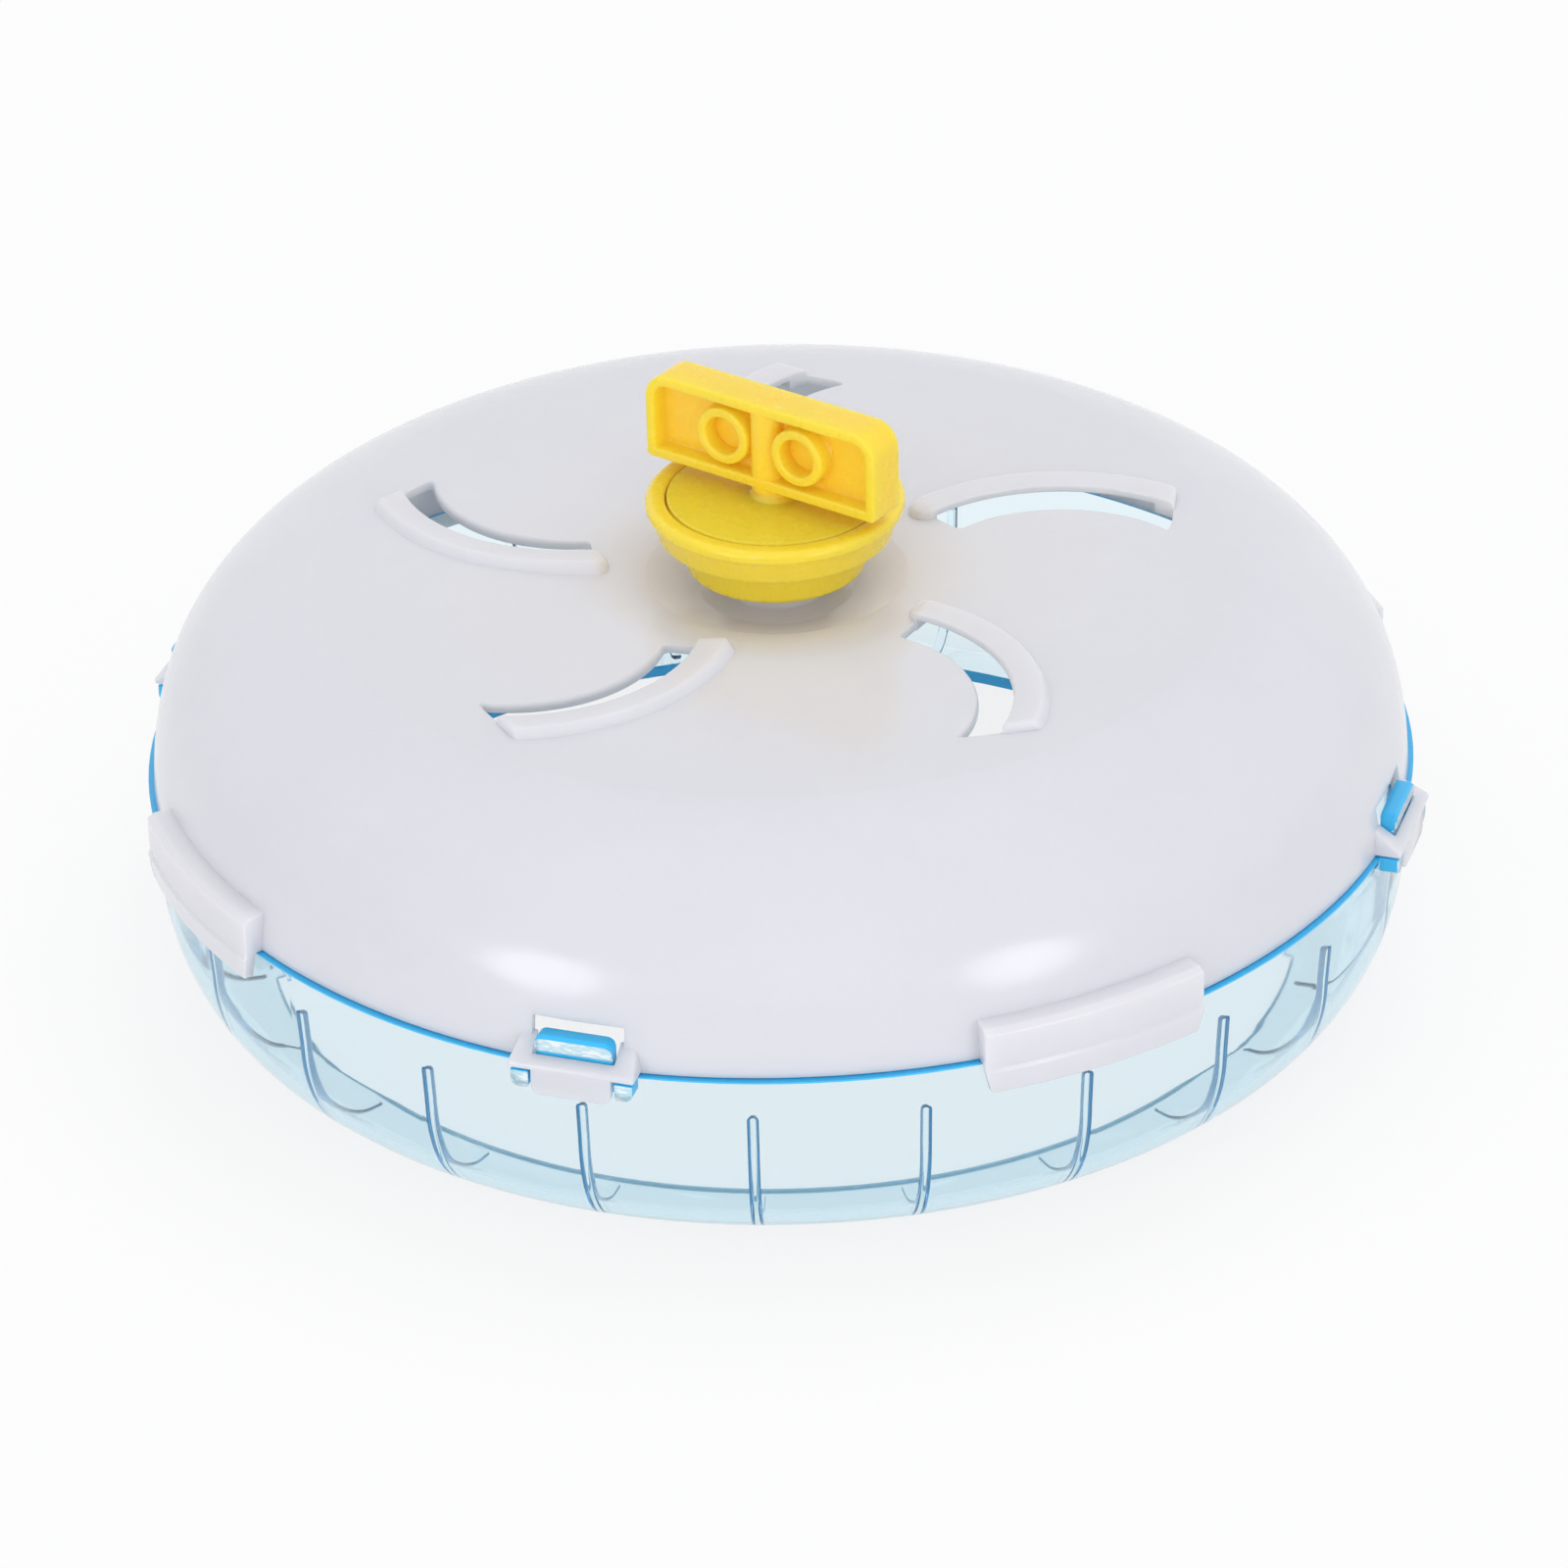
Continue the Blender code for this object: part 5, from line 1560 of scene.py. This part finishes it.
    def lid(self) -> bpy.types.Object:
        """Build and dress the lid with its neck and key plate.

        Returns:
            The finished piece.
        """
        foot = self.neck_foot
        level = self.plate_level + self.plate_wall / 2
        neck = [(0, level), (self.neck_radius, level), (self.neck_radius, self.lid_level + foot),
                (self.neck_radius + foot, self.lid_level), (self.lid_radius, self.lid_level),
                (self.lid_radius, self.lid_level - self.lid_thickness),
                (self.lid_pocket_radius, self.lid_level - self.lid_thickness),
                (self.lid_pocket_radius, self.lid_pocket_level), (0, self.lid_pocket_level)]
        lid = turned("lid", fillet(neck, self.lid_rounds, 5, closed=False), self.steps)
        plate = self.tray()
        plate = combined(plate, gathered("bosses", [self.boss(-1), self.boss(1)]), Join.FUSE)
        plate = combined(plate, self.post(), Join.FUSE)
        lid = smoothed(combined(lid, plate, Join.FUSE))
        return dressed(lid, "key_lid_yellow", YELLOW, Body.MOUNT, Slot.YELLOW, "key_lid")

    def build(self) -> list[bpy.types.Object]:
        """Build and dress the hub's two pieces."""
        return [self.cup(), self.lid()]


@dataclass
class BallBearing:
    """The ball bearing in the cup: rings with grooves, ten balls, a crown cage and two shields."""

    repeater: Repeater
    bore: float = 0.0040
    radius: float = 0.0080
    width: float = 0.0040
    ring: float = 0.0011
    level: float = 0.0258
    pitch: float = 0.0060
    ball: float = 0.0010
    play: float = 0.00015
    race_round: float = 0.00025
    fine_round: float = 0.00008
    shield_thickness: float = 0.00025
    cage_half_width: float = 0.00045
    cage_base: float = 0.0003
    cage_rise: float = 0.0005
    cage_round: float = 0.0001
    balls: int = 10
    steps: int = 96

    def race(self, near: float, far: float) -> bpy.types.Object:
        """Make one ring, plain on its near side and grooved on its far side."""
        half = self.width / 2
        groove = self.ball + self.play
        reach = math.sqrt(groove ** 2 - (self.pitch - far) ** 2)
        tilt = math.degrees(math.asin(reach / groove))
        inward = far > near
        middle = 180 if inward else 0
        curve = arc((self.pitch, 0), groove, middle - tilt, middle + tilt, 12)
        corners = [(near, half), (far, half)] if inward else [(near, half), (near, -half), (far, -half)]
        rest = [(far, -half), (near, -half)] if inward else [(far, half)]
        points = corners + curve + rest
        rounds = {p: self.race_round if abs(p[0] - near) < TINY else self.fine_round
                  for p in corners + rest}
        radii = [rounds.get(p, 0) for p in points]
        raised = [(r, v + self.level) for r, v in fillet(points, radii, 4)]
        return smoothed(turned("race", raised, self.steps))

    def shield(self, side: int) -> bpy.types.Object:
        """Make one flat shield."""
        inner = self.bore + self.ring + self.play
        outer = self.radius - self.ring - self.play / 2
        middle = (inner + outer) / 2
        half = self.shield_thickness / 2
        level = self.level + side * (self.width / 2 - self.play - half)
        profile = [(outer, level + half), (outer, level - half), (middle, level - half),
                   (inner, level - half), (inner, level + half), (middle, level + half)]
        return smoothed(turned("shield", fillet(profile, self.fine_round, 3), self.steps))

    def crown(self) -> bpy.types.Object:
        """Make the cage with its ball pockets."""
        near, far = self.pitch - self.cage_half_width, self.pitch + self.cage_half_width
        pocket = self.ball + self.play
        base = self.level - pocket - self.cage_base
        top = self.level + self.cage_rise
        profile = fillet([(far, top), (far, base), (near, base), (near, top)], self.cage_round, 3)
        cage = turned("cage", profile, self.steps)
        pockets = self.repeater.repeat(self.sphere(pocket), self.balls)
        return smoothed(combined(cage, pockets, Join.CUT))

    def sphere(self, radius: float, angle: float = 0.0) -> bpy.types.Object:
        """Make a ball on the pitch circle at a facing angle."""
        outward, _ = directions(angle)
        line = [(max(0.0, r), v + self.level) for r, v in arc((0, 0), radius, 90, -90, 16)]
        line[0], line[-1] = (0.0, line[0][1]), (0.0, line[-1][1])
        return turned("ball", line, 32, outward * self.pitch)

    def build(self) -> list[bpy.types.Object]:
        """Build and dress the bearing's pieces.

        Returns:
            The finished pieces.
        """
        outer = self.race(self.radius, self.radius - self.ring)
        inner = self.race(self.bore, self.bore + self.ring)
        pieces = [
            dressed(outer, "bearing_outer_race", BEARING, Body.MOUNT, Slot.STEEL, "bearing_outer_ring"),
            dressed(inner, "bearing_inner_race", BEARING, Body.WHEEL, Slot.STEEL, "bearing_inner_ring"),
            dressed(self.shield(-1), "bearing_lower_shield", PLATED, Body.MOUNT, Slot.ZINC,
                    "bearing_shield_lower"),
            dressed(self.shield(1), "bearing_upper_shield", PLATED, Body.MOUNT, Slot.ZINC,
                    "bearing_shield_upper"),
            dressed(self.crown(), "bearing_crown_cage", NYLON, Body.CAGE, Slot.NYLON, "bearing_cage"),
        ]
        for number in range(self.balls):
            ball = smoothed(self.sphere(self.ball, number * 360 / self.balls))
            label = f"ball_{number + 1:02d}"
            pieces.append(dressed(ball, f"bearing_steel_{label}", BEARING, Body.CAGE, Slot.STEEL,
                                  f"bearing_{label}"))
        return pieces


@dataclass
class AxleFasteners:
    """The washer and the cross-head screw that keep the wheel on its bearing."""

    threader: Threader
    washer_level: float = 0.02795
    washer_radius: float = 0.0050
    washer_thickness: float = 0.0005
    washer_play: float = 0.00015
    washer_rounds: tuple[float, ...] = (0.00015, 0.00006, 0.00006, 0.0001)
    screw_radius: float = 0.0014
    screw_length: float = 0.0058
    head_level: float = 0.0286
    head_radius: float = 0.0028
    head_height: float = 0.0014
    drive_length: float = 0.0028
    drive_width: float = 0.0006
    drive_depth: float = 0.0007
    drive_overrun: float = 0.001
    drive_foot: float = 0.00025
    drive_head: float = 0.0001
    head_crown: float = 0.0002
    tip_length: float = 0.0009
    tip_radius: float = 0.0005
    screw_rounds: tuple[float, ...] = (0, 0.0006, 0.0001, 0.0001, 0.0002, 0.0001, 0)
    thread_start: float = 0.0004
    thread_turns: float = 8.0
    thread_ridge: float = 0.00022

    def washer(self) -> bpy.types.Object:
        """Build and dress the washer."""
        hole = self.screw_radius + self.washer_play
        low, high = self.washer_level, self.washer_level + self.washer_thickness
        profile = [(self.washer_radius, high), (self.washer_radius, low), (hole, low), (hole, high)]
        made = smoothed(turned("washer", fillet(profile, self.washer_rounds, 4), 96))
        return dressed(made, "axle_washer", PLATED, Body.WHEEL, Slot.ZINC, "retaining_washer")

    def screw(self) -> bpy.types.Object:
        """Build and dress the screw."""
        top, base = self.head_level + self.head_height, self.head_level
        core = self.screw_radius - self.thread_ridge
        tip = base - self.screw_length
        profile = [(0, top), (self.head_radius, top - self.head_crown), (self.head_radius, base),
                   (core, base), (core, tip + self.tip_length), (self.tip_radius, tip), (0, tip)]
        made = turned("screw", fillet(profile, self.screw_rounds, 5, closed=False), 64)
        for angle in (0, 90):
            outline = rounded_rectangle((-self.drive_length / 2, top - self.drive_depth),
                                        (self.drive_length / 2, top + self.drive_overrun),
                                        self.drive_foot, self.drive_head, 3)
            blade = slab("drive", outline, -self.drive_width / 2, self.drive_width / 2, 0.0,
                         front_view(angle))
            made = combined(made, blade, Join.CUT)
        length = self.screw_length - self.tip_length - self.thread_start
        thread = self.threader.run(new_object("thread", bmesh.new()), radius=core, length=length,
                                   turns=self.thread_turns, ridge=self.thread_ridge)
        thread.data.transform(Matrix.Translation((0, 0, SEAM_HEIGHT + tip + self.tip_length)))
        made = smoothed(combined(made, thread, Join.FUSE))
        return dressed(made, "axle_screw", PLATED, Body.WHEEL, Slot.ZINC, "retaining_screw")

    def build(self) -> list[bpy.types.Object]:
        """Build and dress the fasteners."""
        return [self.washer(), self.screw()]


@dataclass(frozen=True)
class Lamp:
    """A soft round lamp: its place, its width in metres, its power in watts, and if gloss mirrors it."""

    name: str
    spot: tuple[float, float, float]
    size: float
    power: float
    mirrored: bool

    def hang(self, target: Vector) -> None:
        """Hang the lamp, turned towards a target."""
        data = bpy.data.lights.new(self.name, "AREA")
        data.shape = "DISK"
        data.size = self.size
        data.energy = self.power
        thing = bpy.data.objects.new(self.name, data)
        thing.location = self.spot
        thing.visible_glossy = self.mirrored
        aim = target - Vector(self.spot)
        thing.rotation_euler = aim.to_track_quat("-Z", "Y").to_euler()
        bpy.context.scene.collection.objects.link(thing)


LAMPS = (
    Lamp("left_window", (-0.39, -0.93, 0.17), 0.36, 1.35, mirrored=True),
    Lamp("right_window", (0.86, -0.54, 0.17), 0.36, 1.35, mirrored=True),
    Lamp("overhead", (0.05, 0.40, 1.05), 0.9, 3.0, mirrored=False),
    Lamp("front_fill", (0.28, -0.92, 0.45), 0.8, 1.55, mirrored=False),
)


@dataclass
class Studio:
    """The pale floor, the white surroundings, the soft lamps and the camera."""

    floor_radius: float = 1.6
    floor_rings: tuple[float, ...] = (0.2, 0.6)
    floor_gap: float = 0.0002
    floor_thickness: float = 0.01
    lamp_aim: float = 0.03
    even_colour: tuple[float, ...] = (0.97, 0.975, 1.0, 1)
    even_strength: float = 0.75
    azimuth: float = 18.1
    elevation: float = 29.83
    distance: float = 0.7654
    roll: float = -1.274
    lens: float = 158.33
    aim_up: float = -0.00472
    aim_right: float = 0.00029

    def floor(self) -> None:
        """Lay the floor just under the wheel."""
        level = -SEAM_HEIGHT - self.floor_gap
        profile = [(radius, level) for radius in (0, *self.floor_rings, self.floor_radius)]
        profile += [(radius, level - self.floor_thickness) for radius in (self.floor_radius, 0)]
        made = turned("studio_floor", profile, 96)
        made.data.materials.append(FLOOR.material())

    def surroundings(self) -> None:
        """Make the world: even light for surfaces, plain white for what is seen or mirrored."""
        world = bpy.data.worlds.new("studio_white")
        world.use_nodes = True
        world.node_tree.nodes.clear()
        tree = Tree(world.node_tree)
        even = tree.value("ShaderNodeBackground",
                          {"Color": self.even_colour, "Strength": self.even_strength})
        plain = tree.value("ShaderNodeBackground", {"Color": PLAIN_WHITE, "Strength": 1.0})
        mixed = tree.value("ShaderNodeMixShader", {0: seen(tree), 1: even, 2: plain})
        tree.add("ShaderNodeOutputWorld", {"Surface": mixed})
        bpy.context.scene.world = world

    def camera(self) -> None:
        """Set the camera at the photograph's angle."""
        a, e = math.radians(self.azimuth), math.radians(self.elevation)
        back = Vector((math.sin(a) * math.cos(e), -math.cos(a) * math.cos(e), math.sin(e)))
        turn = back.to_track_quat("Z", "Y").to_matrix()
        right, up = turn.col[0], turn.col[1]
        centre = Vector((0, 0, SEAM_HEIGHT))
        spot = centre + back * self.distance
        aim = centre + up * self.aim_up + right * self.aim_right
        look = (aim - spot).to_track_quat("-Z", "Y").to_matrix().to_4x4()
        data = bpy.data.cameras.new("studio_camera")
        data.sensor_width = 36.0
        data.lens = self.lens
        data.clip_start, data.clip_end = 0.05, 20.0
        thing = bpy.data.objects.new("studio_camera", data)
        roll = Matrix.Rotation(math.radians(self.roll), 4, "Z")
        thing.matrix_world = Matrix.Translation(spot) @ look @ roll
        bpy.context.scene.collection.objects.link(thing)
        bpy.context.scene.camera = thing

    def build(self) -> None:
        """Set up the studio."""
        self.floor()
        self.surroundings()
        for lamp in LAMPS:
            lamp.hang(UP * self.lamp_aim)
        self.camera()
        bpy.context.scene.view_settings.view_transform = "Standard"


def main() -> None:
    """Build the wheel and its studio in order."""
    logging.basicConfig(level=logging.INFO, format="%(name)s: %(message)s")
    repeater = Repeater()
    BackShell(repeater).build()
    FrontShell(Ribber(), repeater).build()
    Hub().build()
    BallBearing(repeater).build()
    AxleFasteners(Threader()).build()
    Studio().build()


if __name__ == "__main__":
    main()
